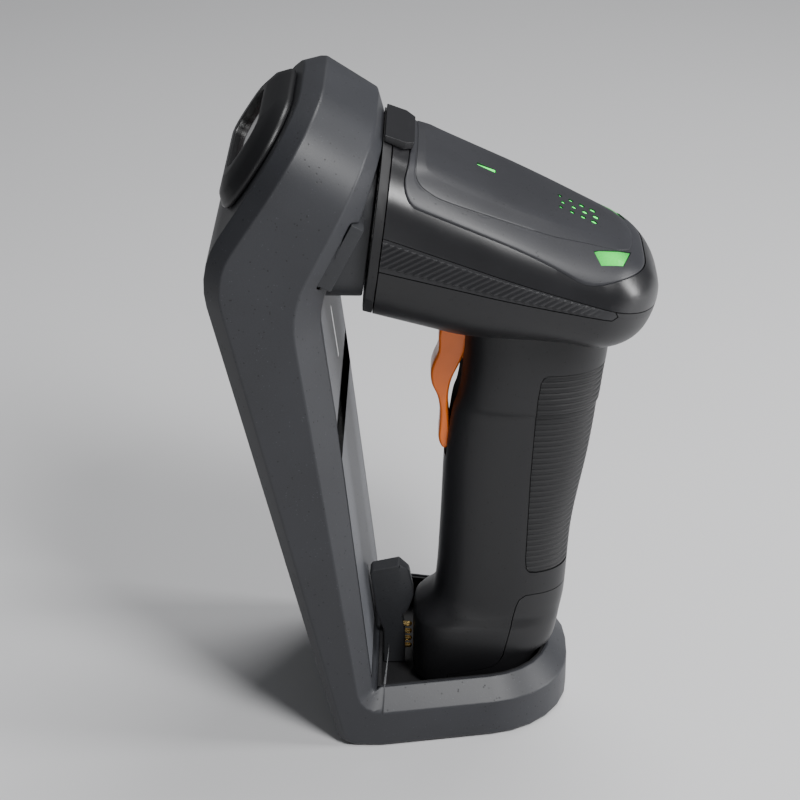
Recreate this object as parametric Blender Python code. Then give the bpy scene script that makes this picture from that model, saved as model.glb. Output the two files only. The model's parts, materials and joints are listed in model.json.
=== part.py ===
"""A handheld scanner with a pistol grip, standing in its tall charging cradle.

Metres, +Z up. The origin is the middle of the cradle's underside. The scanner's nose looks along -Y,
the operator's left is +X, and x = 0 is the plane of symmetry.
"""

import math

import bmesh
import bpy
from mathutils import Matrix, Vector

MM = 0.001

# General
GAP = 0.3 * MM
WALL = 2.4 * MM
SKIN = 1.4 * MM

# Cradle
CRADLE_HALF_WIDTH = 43.0 * MM
SPINE_FOOT = (-33.4 * MM, 4.0 * MM)
SPINE_FRONT_LEAN = math.radians(12.6)
SPINE_REAR_LEAN = math.radians(7.9)
SPINE_FOOT_DEPTH = 8.2 * MM
KNEE_HEIGHT = 173.5 * MM
KNEE_RADIUS = 25.0 * MM
HEAD_FRONT_LEAN = math.radians(33.0)
HEAD_REAR_LEAN = math.radians(27.0)
INNER_KNEE_RADIUS = 36.0 * MM
HEAD_RISE = 61.0 * MM
HEAD_DEPTH = 25.6 * MM
HEAD_CORNER_RADIUS = 31.0 * MM
SPINE_CHAMFER_TOP = 8.0 * MM
SPINE_CHAMFER_FOOT = 4.6 * MM
HEAD_TOP_CHAMFER = 5.2 * MM
FRONT_CHAMFER_FOOT = 2.4 * MM
FRONT_CHAMFER_HEAD = 5.2 * MM
UNDERSIDE_CHAMFER = 0.8 * MM
BASE_WALL_HEIGHT = 13.6 * MM
BASE_UNDERSIDE = 1.2 * MM
BASE_CHAMFER = 6.6 * MM
HEEL_RADIUS = 4.0 * MM
BASE_TAIL = 43.6 * MM
BASE_TAIL_RADIUS = 32.0 * MM
BASE_TAPER = math.radians(10.5)
BASE_TAPER_START = -20.0 * MM
INNER_CORNER_RADIUS = 8.0 * MM
RIM_LAND = 0.5 * MM

# Cradle's head and its fittings
COVER_RISE = 6.5 * MM
COVER_HALF_WIDTH = 31.5 * MM
COVER_INSET_TOP = 9.0 * MM
COVER_START = 13.5 * MM
COVER_CORNER_RADIUS = 20.0 * MM
COVER_FOOT_RADIUS = 14.0 * MM
COVER_CROWN = ((0.3, 0.0), (2.0, 0.0), (4.8, 3.0), (6.5, 8.0))
WINDOW_HALF_WIDTH = 19.0 * MM
WINDOW_LOW = 24.0 * MM
WINDOW_HIGH = 41.0 * MM
WINDOW_CORNER = 6.0 * MM
WINDOW_THICKNESS = 1.5 * MM
WINDOW_DEPTH = 2.0 * MM
TUNNEL_HALF_WIDTH = 29.0 * MM
TUNNEL_LOW = 158.0 * MM
TUNNEL_HIGH = 200.0 * MM
TUNNEL_CORNER = 12.0 * MM
TUNNEL_WALL = 2.2 * MM
TUNNEL_FRONT_CLEARANCE = 3.4 * MM
FLANGE_HALF_WIDTH = 38.2 * MM
FLANGE_LOW = 10.0 * MM
FLANGE_HIGH = 33.0 * MM
FLANGE_DEPTH = 4.3 * MM
FLANGE_PROUD = 0.8 * MM
DOCK_CLEARANCE = 0.7 * MM
INNER_COVER_LOW = 25.0 * MM
INNER_COVER_HIGH = 156.5 * MM
INNER_COVER_LIP = 0.9 * MM
INNER_COVER_THICKNESS = 2.0 * MM
LIGHT_SLOT_LOW = 127.0 * MM
LIGHT_SLOT_HIGH = 145.0 * MM
LIGHT_SLOT_HALF_WIDTH = 1.2 * MM

# Base fittings
PLATE_INSET = 3.2 * MM
PLATE_FRONT = -27.4 * MM
PLATE_THICKNESS = 2.2 * MM
BALLAST_INSET = 7.6 * MM
BALLAST_THICKNESS = 1.4 * MM
TRAY_FRONT = -22.3 * MM
TRAY_WALL = 1.0 * MM
TRAY_FLOOR = 1.6 * MM
MAT_INSET = 9.0 * MM
MAT_FRONT = -24.0 * MM
MAT_RECESS = 0.8 * MM
SCREW_PLACES = ((17.0 * MM, -19.0 * MM), (8.0 * MM, 31.0 * MM))
SCREW_HEAD_RADIUS = 2.6 * MM
SCREW_SHANK_RADIUS = 1.3 * MM
SCREW_HEAD_HEIGHT = 1.0 * MM
BLOCK_HALF_WIDTH = 3.2 * MM
BLOCK_SIDE_CHAMFER = 1.4 * MM
BLOCK_SIDE_REAR = -15.2
BLOCK_REAR_Y = -13.2 * MM
BLOCK_OUTLINE = (
    (-23.2, 28.0), (-25.3, 44.0), (-24.6, 45.2), (-15.4, 47.4), (-11.8, 44.8), (-10.3, 37.0), (-10.3, 34.0),
    (-12.0, 28.6), (-14.6, 26.6), (-13.6, 22.0),
)
PIN_PITCH = 3.0 * MM
PIN_COUNT = 4
PIN_RADIUS = 0.9 * MM
PIN_LENGTH = 6.0 * MM
PIN_BORE_SPARE = 1.4 * MM
PIN_HEIGHT = 17.0 * MM
BOARD_THICKNESS = 1.6 * MM
CHARGE_BOARD_HALF_WIDTH = 24.0 * MM
CHARGE_BOARD_LOW = 20.0 * MM
CHARGE_BOARD_HIGH = 48.0 * MM
SOCKET_HALF_WIDTH = 5.0 * MM
SOCKET_LOW = 10.5 * MM
SOCKET_HIGH = 15.5 * MM
SOCKET_FRONT = -36.0 * MM
SOCKET_REAR = -28.6 * MM
SOCKET_WALL = 0.9 * MM

# Scanner's barrel, in its own frame: +Y runs to the tail, +Z is the roof
BARREL_PITCH = math.radians(20.0)
BARREL_HEIGHT = 160.0 * MM
BARREL_HALF_WIDTH = 34.8 * MM
BARREL_MIDDLE = 13.0 * MM
BARREL_ROOF_FRONT = 38.6 * MM
BARREL_ROOF_SLOPE = 0.095
BARREL_BELLY_FRONT = -19.4 * MM
BARREL_BELLY_SLOPE = 0.10
BELLY_RISE_SLOPE = 0.22
BELLY_RISE_START = 10.0 * MM
BELLY_RISE_END = 40.0 * MM
BARREL_FRONT = -34.0 * MM
BARREL_TAIL = 66.5 * MM
BARREL_TAIL_ROUND = 20.0 * MM
BARREL_NARROWING = 6.0 * MM
BARREL_NARROWING_START = 10.0 * MM
NOSE_FACE_LEAN = math.radians(7.0)
NOSE_FACE = (-23.6 * MM, 178.0 * MM)
NOSE_FRAME_DEPTH = 3.0 * MM
NOSE_FRAME_RIM = 5.0 * MM
ROOF_HALF_WIDTH = 30.4 * MM
ROOF_FRONT = -26.0 * MM
ROOF_TAIL = 57.0 * MM
ROOF_FRONT_RADIUS = 6.0 * MM
ROOF_TAIL_RADIUS = 22.0 * MM
ROOF_LOW = 19.0 * MM
BEZEL_LOW = 16.4 * MM
STRIP_TAIL = 50.0 * MM
STRIP_LOW_FRONT = 4.2 * MM
STRIP_LOW_TAIL = 13.4 * MM
LENS_OUTLINE = ((21.4, 38.2), (24.4, 41.2), (21.2, 48.3), (13.2, 50.6))
TAB_HALF_WIDTH = 14.0 * MM
TAB_FRONT = -35.5 * MM
TAB_TAIL = -25.5 * MM
TAB_RISE = 1.6 * MM

# Grip, as (height, front, rear, half-width, squareness) from the foot up
GRIP_STATIONS = (
    (7.4, -9.4, 27.4, 17.0, 3.4),
    (9.0, -10.4, 28.5, 18.2, 3.4),
    (14.0, -10.4, 31.2, 19.3, 3.4),
    (20.0, -10.4, 34.5, 19.5, 3.2),
    (23.4, -10.4, 38.4, 19.5, 3.2),
    (31.0, -10.0, 40.2, 19.2, 3.0),
    (33.4, -8.0, 40.6, 18.6, 2.9),
    (35.0, -6.2, 41.0, 17.4, 2.8),
    (40.0, -2.8, 41.8, 17.1, 2.7),
    (64.0, -1.3, 43.2, 17.2, 2.6),
    (97.0, 0.0, 48.4, 16.8, 2.6),
    (108.0, 1.2, 49.8, 16.6, 2.6),
    (113.4, 2.2, 50.4, 16.9, 2.6),
    (115.6, 3.2, 51.0, 18.5, 2.6),
    (124.0, 4.6, 52.0, 18.7, 2.6),
    (134.0, 5.6, 53.2, 18.4, 2.6),
    (146.0, 6.0, 53.6, 17.6, 2.6),
)
GRIP_SIDES = 24
DOOR_OUTLINE = (
    (2.0, 0.0), (2.0, 12.8), (8.2, 14.2), (17.8, 17.0), (20.8, 20.8), (23.0, 31.2), (25.2, 41.0),
    (28.1, 44.3), (60.0, 44.3), (60.0, 0.0),
)
PANEL_OUTLINE = (
    (31.5, 129.0), (30.1, 120.0), (28.6, 90.0), (27.8, 59.0), (29.2, 53.4), (60.0, 53.4), (60.0, 129.0),
)

# Trigger and switch, as (y, z)
TRIGGER_OUTLINE = (
    (-2.0, 139.0), (-2.4, 131.5), (-4.0, 127.2), (-4.9, 123.5), (-4.5, 119.0), (-2.6, 114.5), (-1.8, 109.5),
    (-1.9, 104.0), (-2.2, 99.0), (-1.4, 96.0), (-0.2, 95.0), (1.1, 95.6), (1.9, 98.0), (2.0, 101.0),
    (1.4, 106.0), (1.0, 111.0), (1.2, 116.0), (2.2, 121.0), (4.4, 126.0), (6.4, 131.0), (8.6, 138.0),
    (12.4, 142.8), (14.0, 147.0), (13.6, 150.0), (11.2, 151.2), (8.4, 150.2), (6.8, 147.6), (2.6, 144.0),
)
TRIGGER_SLOT = (
    (-9.0, 92.6), (9.6, 92.6), (9.6, 134.0), (14.6, 142.0), (15.0, 154.0), (5.4, 154.0), (5.4, 148.4),
    (1.8, 144.8), (-3.0, 139.6), (-3.0, 134.5), (-9.0, 130.0),
)
TRIGGER_HALF_WIDTH = 5.4 * MM
TRIGGER_SIDE_CLEARANCE = 0.8 * MM
TRIGGER_PIVOT = (11.0 * MM, 148.2 * MM)
TRIGGER_PIN_RADIUS = 1.3 * MM
TRIGGER_PIN_HALF_LENGTH = 13.0 * MM
BRACKET_OUTLINE = (
    (8.2, 145.7), (8.2, 151.0), (14.0, 150.8), (20.9, 148.4), (20.9, 122.0), (18.6, 122.0), (18.6, 139.0),
    (13.4, 144.4), (10.6, 145.5),
)
BRACKET_HALF_WIDTH = 7.8 * MM
BRACKET_SHEET = 1.2 * MM
SPRING_RADIUS = 2.5 * MM
SPRING_WIRE = 0.45 * MM
SPRING_TURNS = 4
SWITCH_HEIGHT = 127.0 * MM
SWITCH_FRONT = 11.5 * MM
SWITCH_REAR = 19.4 * MM
SWITCH_HALF = 3.2 * MM
PLUNGER_RADIUS = 1.1 * MM
PLUNGER_TIP = 5.6 * MM
PLUNGER_END = 14.4 * MM
PLUNGER_BORE_END = 17.4 * MM

# Inside the grip
CELL_RADIUS = 9.0 * MM
CELL_FOOT = (20.5 * MM, 38.0 * MM)
CELL_HEAD = (24.5 * MM, 102.0 * MM)
CONTACT_PAD_HALF = (2.6 * MM, 1.1 * MM)
CONTACT_MARGIN = 0.8 * MM
CONTACT_PAD_THICKNESS = 0.9 * MM


# ---------------------------------------------------------------- helpers


def clear_scene():
    for obj in list(bpy.data.objects):
        bpy.data.objects.remove(obj, do_unlink=True)


def material(name, colour, roughness, metallic=0.0):
    made = bpy.data.materials.get(name)
    if made:
        return made
    made = bpy.data.materials.new(name)
    made.use_nodes = True
    shader = made.node_tree.nodes["Principled BSDF"]
    shader.inputs["Base Color"].default_value = (*colour, 1.0)
    shader.inputs["Roughness"].default_value = roughness
    shader.inputs["Metallic"].default_value = metallic
    return made


def make_object(name, bm, finish=None, parent=None, smooth_angle=32.0):
    """Turns a bmesh into a named object with its faces pointing out."""
    bmesh.ops.remove_doubles(bm, verts=bm.verts, dist=0.001 * MM)
    bmesh.ops.recalc_face_normals(bm, faces=bm.faces)
    mesh = bpy.data.meshes.new(name)
    bm.to_mesh(mesh)
    bm.free()
    mesh.shade_smooth()
    mesh.set_sharp_from_angle(angle=math.radians(smooth_angle))
    obj = bpy.data.objects.new(name, mesh)
    bpy.context.scene.collection.objects.link(obj)
    if parent is not None:
        obj.parent = parent
    if finish is None:
        obj.hide_render = True
        obj.display_type = "WIRE"
    else:
        mesh.materials.append(finish)
    return obj


def frame_empty(name, location, pitch=0.0):
    """An empty that holds a tilted frame; pitch turns it about X."""
    empty = bpy.data.objects.new(name, None)
    empty.location = location
    empty.rotation_euler = (pitch, 0.0, 0.0)
    bpy.context.scene.collection.objects.link(empty)
    return empty


def add_loft(bm, rings):
    """Quads between rings of equal length, closed with a face at each end."""
    loops = [[bm.verts.new(point) for point in ring] for ring in rings]
    count = len(loops[0])
    for lower, upper in zip(loops, loops[1:]):
        for i in range(count):
            j = (i + 1) % count
            bm.faces.new((lower[i], lower[j], upper[j], upper[i]))
    bm.faces.new(loops[0])
    bm.faces.new(reversed(loops[-1]))


def loft(name, rings, finish=None, parent=None):
    bm = bmesh.new()
    add_loft(bm, rings)
    return make_object(name, bm, finish, parent)


def side_prism(name, outline, half_width, finish=None, parent=None, bevel=0.0):
    """An outline of (y, z) points, extruded across x."""
    bm = bmesh.new()
    add_loft(bm, [[(x, y, z) for y, z in outline] for x in (-half_width, half_width)])
    if bevel:
        edges = [e for e in bm.edges if abs(e.verts[0].co.x - e.verts[1].co.x) < MM / 10]
        bmesh.ops.bevel(bm, geom=edges, offset=bevel, segments=1, affect="EDGES")
    return make_object(name, bm, finish, parent)


def plan_prism(name, outline, low, high, finish=None, parent=None):
    """An outline of (x, y) points, extruded along z."""
    bm = bmesh.new()
    add_loft(bm, [[(x, y, z) for x, y in outline] for z in (low, high)])
    return make_object(name, bm, finish, parent)


def face_prism(name, outline, low, high, finish=None, parent=None):
    """An outline of (x, z) points, extruded along y."""
    bm = bmesh.new()
    add_loft(bm, [[(x, y, z) for x, z in outline] for y in (low, high)])
    return make_object(name, bm, finish, parent)


def add_box(bm, low, high, bevel=0.0):
    made = bmesh.ops.create_cube(bm, size=1.0)["verts"]
    low, high = Vector(low), Vector(high)
    for vert in made:
        vert.co = Vector([low[i] + (vert.co[i] + 0.5) * (high[i] - low[i]) for i in range(3)])
    if bevel:
        edges = {edge for vert in made for edge in vert.link_edges}
        bmesh.ops.bevel(bm, geom=list(edges), offset=bevel, segments=1, affect="EDGES")


def box(name, low, high, finish=None, parent=None, bevel=0.0):
    bm = bmesh.new()
    add_box(bm, low, high, bevel)
    return make_object(name, bm, finish, parent)


def add_rod(bm, start, end, radius, sides=20, end_radius=None):
    """A round bar or a cone from start to end."""
    start, end = Vector(start), Vector(end)
    along = end - start
    turn = along.to_track_quat("Z", "Y").to_matrix().to_4x4()
    place = Matrix.Translation((start + end) / 2) @ turn
    bmesh.ops.create_cone(
        bm,
        cap_ends=True,
        segments=sides,
        radius1=radius,
        radius2=radius if end_radius is None else end_radius,
        depth=along.length,
        matrix=place,
    )


def add_turned(bm, start, direction, profile, sides=16):
    """A turned solid: profile is (distance along the axis, radius), from one end to the other."""
    turn = Vector(direction).to_track_quat("Z", "Y").to_matrix()
    rings = []
    for along, radius in profile:
        ring = []
        for k in range(sides):
            angle = 2 * math.pi * k / sides
            ring.append(Vector(start) + turn @ Vector((radius * math.cos(angle), radius * math.sin(angle), along)))
        rings.append(ring)
    add_loft(bm, rings)


def turned(name, start, direction, profile, finish=None, parent=None, sides=16):
    bm = bmesh.new()
    add_turned(bm, start, direction, profile, sides)
    return make_object(name, bm, finish, parent)


def rod(name, start, end, radius, finish=None, parent=None, sides=20):
    bm = bmesh.new()
    add_rod(bm, start, end, radius, sides)
    return make_object(name, bm, finish, parent)


def boolean(obj, other, operation="DIFFERENCE"):
    modifier = obj.modifiers.new(f"{operation.lower()}_{other.name}", "BOOLEAN")
    modifier.operation = operation
    modifier.solver = "EXACT"
    modifier.object = other
    return obj


def rounded_rectangle(low, high, radii, steps=4):
    """Corners in the order low-low, high-low, high-high, low-high, each with its own radius."""
    corners = [
        (low[0], low[1], 180.0),
        (high[0], low[1], 270.0),
        (high[0], high[1], 0.0),
        (low[0], high[1], 90.0),
    ]
    points = []
    for (a, b, start), radius in zip(corners, radii):
        centre_a = a + radius if a == low[0] else a - radius
        centre_b = b + radius if b == low[1] else b - radius
        for step in range(steps + 1):
            angle = math.radians(start + 90.0 * step / steps)
            points.append((centre_a + radius * math.cos(angle), centre_b + radius * math.sin(angle)))
    return points


def fillet(before, corner, after, radius, steps):
    """Points of the arc that rounds a corner of a (y, z) polyline."""
    corner = Vector(corner)
    back = (Vector(before) - corner).normalized()
    ahead = (Vector(after) - corner).normalized()
    half = back.angle(ahead) / 2
    reach = radius / math.tan(half)
    start, end = corner + back * reach, corner + ahead * reach
    centre = corner + (back + ahead).normalized() * (radius / math.sin(half))
    first, last = start - centre, end - centre
    sweep = first.angle(last)
    points = []
    for step in range(steps + 1):
        t = step / steps
        weight_a = math.sin((1 - t) * sweep) / math.sin(sweep)
        weight_b = math.sin(t * sweep) / math.sin(sweep)
        points.append(centre + first * weight_a + last * weight_b)
    return points


def point_at_height(line_point, lean, height):
    """The point of a leaning (y, z) line at a height; lean is positive towards +Y."""
    y, z = line_point
    return Vector((y + math.tan(lean) * (height - z), height))


# ---------------------------------------------------------------- cradle profile


def tangents(points):
    """A unit direction at each point of a polyline."""
    found = []
    for i, _ in enumerate(points):
        ahead = points[min(i + 1, len(points) - 1)]
        back = points[max(i - 1, 0)]
        found.append((ahead - back).normalized())
    return found


def front_knee():
    return point_at_height(SPINE_FOOT, -SPINE_FRONT_LEAN, KNEE_HEIGHT)


def head_up():
    """Unit vector up along the head's front plane, as (y, z)."""
    return Vector((math.sin(HEAD_FRONT_LEAN), math.cos(HEAD_FRONT_LEAN)))


def head_out():
    """Unit normal of the head's front plane, pointing out, as (y, z)."""
    up = head_up()
    return Vector((-up.y, up.x))


def rear_foot():
    """Where the spine's rear edge would meet the top edge of the base wall."""
    base = point_at_height(SPINE_FOOT, -SPINE_FRONT_LEAN, BASE_WALL_HEIGHT)
    return Vector((base.x + SPINE_FOOT_DEPTH, BASE_WALL_HEIGHT))


def rear_knee():
    """Where the spine's rear edge would meet the head's rear edge."""
    foot = rear_foot()
    deep = front_knee() - head_out() * HEAD_DEPTH
    slope_spine = -math.tan(SPINE_REAR_LEAN)
    slope_head = math.tan(HEAD_REAR_LEAN)
    height = (deep.x - foot.x + slope_spine * foot.y - slope_head * deep.y) / (slope_spine - slope_head)
    return Vector((foot.x + slope_spine * (height - foot.y), height))



def chamfer_at(height):
    """Width of the rear chamfer, which grows up the spine."""
    share = (height - BASE_WALL_HEIGHT) / (130.0 * MM - BASE_WALL_HEIGHT)
    share = min(max(share, 0.0), 1.0)
    return SPINE_CHAMFER_FOOT + (SPINE_CHAMFER_TOP - SPINE_CHAMFER_FOOT) * share


def front_chamfer_at(height):
    """Width of the front chamfer, which grows up to the knee and then stays."""
    share = min(max(height / (KNEE_HEIGHT - KNEE_RADIUS / 2), 0.0), 1.0)
    return FRONT_CHAMFER_FOOT + (FRONT_CHAMFER_HEAD - FRONT_CHAMFER_FOOT) * share


def plan_outline():
    """Near half of the base's outline: (point, outward normal) from the tail's middle to the heel."""
    centre_y = BASE_TAIL - BASE_TAIL_RADIUS
    side_x = CRADLE_HALF_WIDTH - math.tan(BASE_TAPER) * (centre_y - BASE_TAPER_START)
    centre_x = side_x - BASE_TAIL_RADIUS / math.cos(BASE_TAPER)
    stations = []
    for step in range(7):
        angle = math.radians(90.0) + (BASE_TAPER - math.radians(90.0)) * step / 6
        normal = Vector((math.cos(angle), math.sin(angle)))
        stations.append((Vector((centre_x, centre_y)) + normal * BASE_TAIL_RADIUS, normal))
    return stations


class Station:
    """One cross-section of the cradle's outer wall: its front edge, its rear edge and its directions."""

    def __init__(self, wall, front, front_out, rear, rear_out, chamfer, front_chamfer):
        self.wall = Vector(wall)
        self.front = Vector(front)
        self.front_out = Vector(front_out)
        self.rear = Vector(rear)
        self.rear_out = Vector(rear_out)
        self.chamfer = chamfer
        self.front_chamfer = front_chamfer

    def corners(self, inset):
        """Front face, front edge, rear edge and rear face of the section, inset by a wall."""
        edge = (math.sqrt(2.0) - 1.0) * inset
        shrink = (2.0 - math.sqrt(2.0)) * inset
        front = self.front - self.wall * inset - self.front_out * edge
        rear = self.rear - self.wall * inset - self.rear_out * edge
        front_chamfer = max(self.front_chamfer - shrink, 0.2 * MM)
        chamfer = max(self.chamfer - shrink, 0.2 * MM)
        return (
            front + (self.front_out - self.wall) * front_chamfer,
            front,
            rear,
            rear + (self.rear_out - self.wall) * chamfer,
        )


def profile_pairs():
    """Matching points of the side wall's front and rear edges, from the heel to the top of the head."""
    foot, knee = Vector(SPINE_FOOT), front_knee()
    inner_foot, inner_knee = rear_foot(), rear_knee()
    top = knee + head_up() * (HEAD_RISE - HEAD_CORNER_RADIUS)
    rear_top = top - head_out() * HEAD_DEPTH
    lean_gap = math.tan(HEAD_FRONT_LEAN - HEAD_REAR_LEAN) * (HEAD_RISE - HEAD_CORNER_RADIUS)
    rear_top = rear_top + head_out() * lean_gap

    corner = fillet((BASE_TAIL, BASE_WALL_HEIGHT), inner_foot, inner_knee, INNER_CORNER_RADIUS, 4)
    heel = fillet((0.0, BASE_UNDERSIDE), (foot.x + MM, BASE_UNDERSIDE), foot + (knee - foot) * 0.1, HEEL_RADIUS, 4)
    bend = fillet(foot, knee, top, KNEE_RADIUS, 5)
    inner_bend = fillet(inner_foot, inner_knee, rear_top, INNER_KNEE_RADIUS, 5)
    rises = (0.2, 0.45, 0.75)
    front = heel + [heel[-1].lerp(bend[0], t) for t in rises] + bend + [top]
    rear = corner + [corner[-1].lerp(inner_bend[0], t) for t in rises] + inner_bend + [rear_top]
    return front, rear


def spine_stations():
    front, rear = profile_pairs()
    made = []
    for (f, along_f), (r, along_r) in zip(zip(front, tangents(front)), zip(rear, tangents(rear))):
        made.append(
            Station(
                (1, 0, 0),
                (CRADLE_HALF_WIDTH, f.x, f.y),
                (0, -along_f.y, along_f.x),
                (CRADLE_HALF_WIDTH, r.x, r.y),
                (0, along_r.y, -along_r.x),
                chamfer_at(r.y) if r.y > BASE_WALL_HEIGHT + MM else BASE_CHAMFER,
                front_chamfer_at(f.y),
            )
        )
    for station in made[:3]:
        station.front_chamfer = UNDERSIDE_CHAMFER
    return made


def head_stations(last):
    """The head's rounded corner and flat top, which carry on from the last station of the spine."""
    up = Vector((0, *head_up()))
    centre = last.front - Vector((HEAD_CORNER_RADIUS, 0, 0))
    depth = (last.front - last.rear).length
    back = -Vector((0, *head_out()))
    rear_up = Vector((0, math.sin(HEAD_REAR_LEAN), math.cos(HEAD_REAR_LEAN)))
    shrink = math.tan(HEAD_FRONT_LEAN - HEAD_REAR_LEAN)
    made = []
    for step in range(1, 7):
        angle = math.radians(90.0) * step / 6
        wall = Vector((1, 0, 0)) * math.cos(angle) + up * math.sin(angle)
        front = centre + wall * HEAD_CORNER_RADIUS
        rear = front + back * (depth - shrink * HEAD_CORNER_RADIUS * math.sin(angle))
        rear_out = Vector((0, rear_up.z, -rear_up.y))
        chamfer = SPINE_CHAMFER_TOP + (HEAD_TOP_CHAMFER - SPINE_CHAMFER_TOP) * math.sin(angle)
        made.append(Station(wall, front, -back, rear, rear_out, chamfer, FRONT_CHAMFER_HEAD))
    return made


def base_stations():
    made = []
    for point, normal in plan_outline():
        made.append(
            Station(
                (normal.x, normal.y, 0),
                (point.x, point.y, BASE_UNDERSIDE),
                (0, 0, -1),
                (point.x, point.y, BASE_WALL_HEIGHT),
                (0, 0, 1),
                BASE_CHAMFER,
                UNDERSIDE_CHAMFER,
            )
        )
    start = Vector((CRADLE_HALF_WIDTH, BASE_TAPER_START))
    for share in (0.5, 1.0):
        point = made[6].front.to_2d().lerp(start, share)
        made.append(
            Station(
                made[6].wall if share < 1 else (1, 0, 0),
                (point.x, point.y, BASE_UNDERSIDE),
                (0, 0, -1),
                (point.x, point.y, BASE_WALL_HEIGHT),
                (0, 0, 1),
                BASE_CHAMFER,
                UNDERSIDE_CHAMFER,
            )
        )
    return made


def cradle_stations():
    spine = spine_stations()
    return base_stations() + spine + head_stations(spine[-1])


def mirrored(point):
    return Vector((-point.x, point.y, point.z))


def add_cradle_body(bm, inset):
    """The cradle's closed body: the wall runs round it as a band, and flat strips close front and rear."""
    near = [station.corners(inset) for station in cradle_stations()]
    near_verts = [[bm.verts.new(point) for point in corners] for corners in near]
    far_verts = [[bm.verts.new(mirrored(point)) for point in corners] for corners in near]
    for side in (near_verts, far_verts):
        for this, following in zip(side, side[1:]):
            for i in range(3):
                bm.faces.new((this[i], this[i + 1], following[i + 1], following[i]))
    for i in (0, 3):
        for k in range(len(near) - 1):
            bm.faces.new((near_verts[k][i], near_verts[k + 1][i], far_verts[k + 1][i], far_verts[k][i]))
    for end in (0, -1):
        for i in range(3):
            bm.faces.new((near_verts[end][i], near_verts[end][i + 1], far_verts[end][i + 1], far_verts[end][i]))


def cradle_body(name, inset, finish=None):
    bm = bmesh.new()
    add_cradle_body(bm, inset)
    return make_object(name, bm, finish)


def mirror_outline(near):
    """Closes a near half outline of (x, y) points with its mirror image."""
    return [(x, y) for x, y in near] + [(-x, y) for x, y in reversed(near)]


def base_plan(inset, front):
    """The base's outline, inset from the wall, with a straight front edge."""
    near = []
    for station in base_stations():
        point = station.front.to_2d() - station.wall.to_2d() * inset
        near.append((point.x, point.y))
    near.append((CRADLE_HALF_WIDTH - inset, front))
    return mirror_outline(near)


def rear_face_at(height):
    """(y, outward normal, half-width) of the spine's rear face at a height."""
    corners = [(station.corners(0.0)[3], station) for station in spine_stations()]
    for (low, station), (high, following) in zip(corners, corners[1:]):
        if low.z <= height <= high.z:
            share = (height - low.z) / (high.z - low.z)
            point = low.lerp(high, share)
            normal = station.rear_out.lerp(following.rear_out, share).normalized()
            return point.y, normal, point.x
    raise ValueError("height is outside the spine")


def rear_strip(name, heights, lip, outside, inside, finish=None):
    """A strip on the spine's rear face, between two depths measured along the face's normal."""
    rings = []
    for height in heights:
        y, normal, half_width = rear_face_at(height)
        face = Vector((0, y, height))
        outer, inner = face + normal * outside, face - normal * inside
        x = half_width - lip
        rings.append([(x, outer.y, outer.z), (-x, outer.y, outer.z), (-x, inner.y, inner.z), (x, inner.y, inner.z)])
    return loft(name, rings, finish)


# ---------------------------------------------------------------- cradle pieces


def head_frame():
    """Frame on the head's front face: +Z up the face, +Y into the head."""
    knee, out = front_knee(), head_out()
    place = knee + out * FRONT_CHAMFER_HEAD
    return frame_empty("head_face_frame", (0, place.x, place.y), -HEAD_FRONT_LEAN)


def head_rear_frame():
    """Frame on the rear edges of the head's side walls: +Z up them, +Y out of the head."""
    knee = rear_knee()
    return frame_empty("head_rear_frame", (0, knee.x, knee.y), -HEAD_REAR_LEAN)


def nose_frame_empty():
    """Frame on the scanner's front face: +Z up the face, +Y into the scanner."""
    return frame_empty("nose_face_frame", (0, *NOSE_FACE), -NOSE_FACE_LEAN)


def barrel_frame_empty():
    return frame_empty("barrel_frame", (0, 0, BARREL_HEIGHT), -BARREL_PITCH)


def window_outline(spare):
    low, high = (-WINDOW_HALF_WIDTH - spare, WINDOW_LOW - spare), (WINDOW_HALF_WIDTH + spare, WINDOW_HIGH + spare)
    return rounded_rectangle(low, high, [WINDOW_CORNER + spare] * 4, 4)


def tunnel_outline(spare):
    low = (-TUNNEL_HALF_WIDTH - spare, TUNNEL_LOW - spare)
    high = (TUNNEL_HALF_WIDTH + spare, TUNNEL_HIGH + spare)
    return rounded_rectangle(low, high, [TUNNEL_CORNER + spare] * 4, 5)


def cover_outline(inset):
    top = HEAD_RISE - COVER_INSET_TOP
    low = (-COVER_HALF_WIDTH + inset, COVER_START + inset)
    high = (COVER_HALF_WIDTH - inset, top - inset)
    foot, head = COVER_FOOT_RADIUS - inset, COVER_CORNER_RADIUS - inset
    return rounded_rectangle(low, high, [foot, foot, head, head], 5)


def inner_cover_heights(spare=0.0):
    steps = 8
    low, high = INNER_COVER_LOW - spare, INNER_COVER_HIGH + spare
    return [low + (high - low) * step / steps for step in range(steps + 1)]


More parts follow.
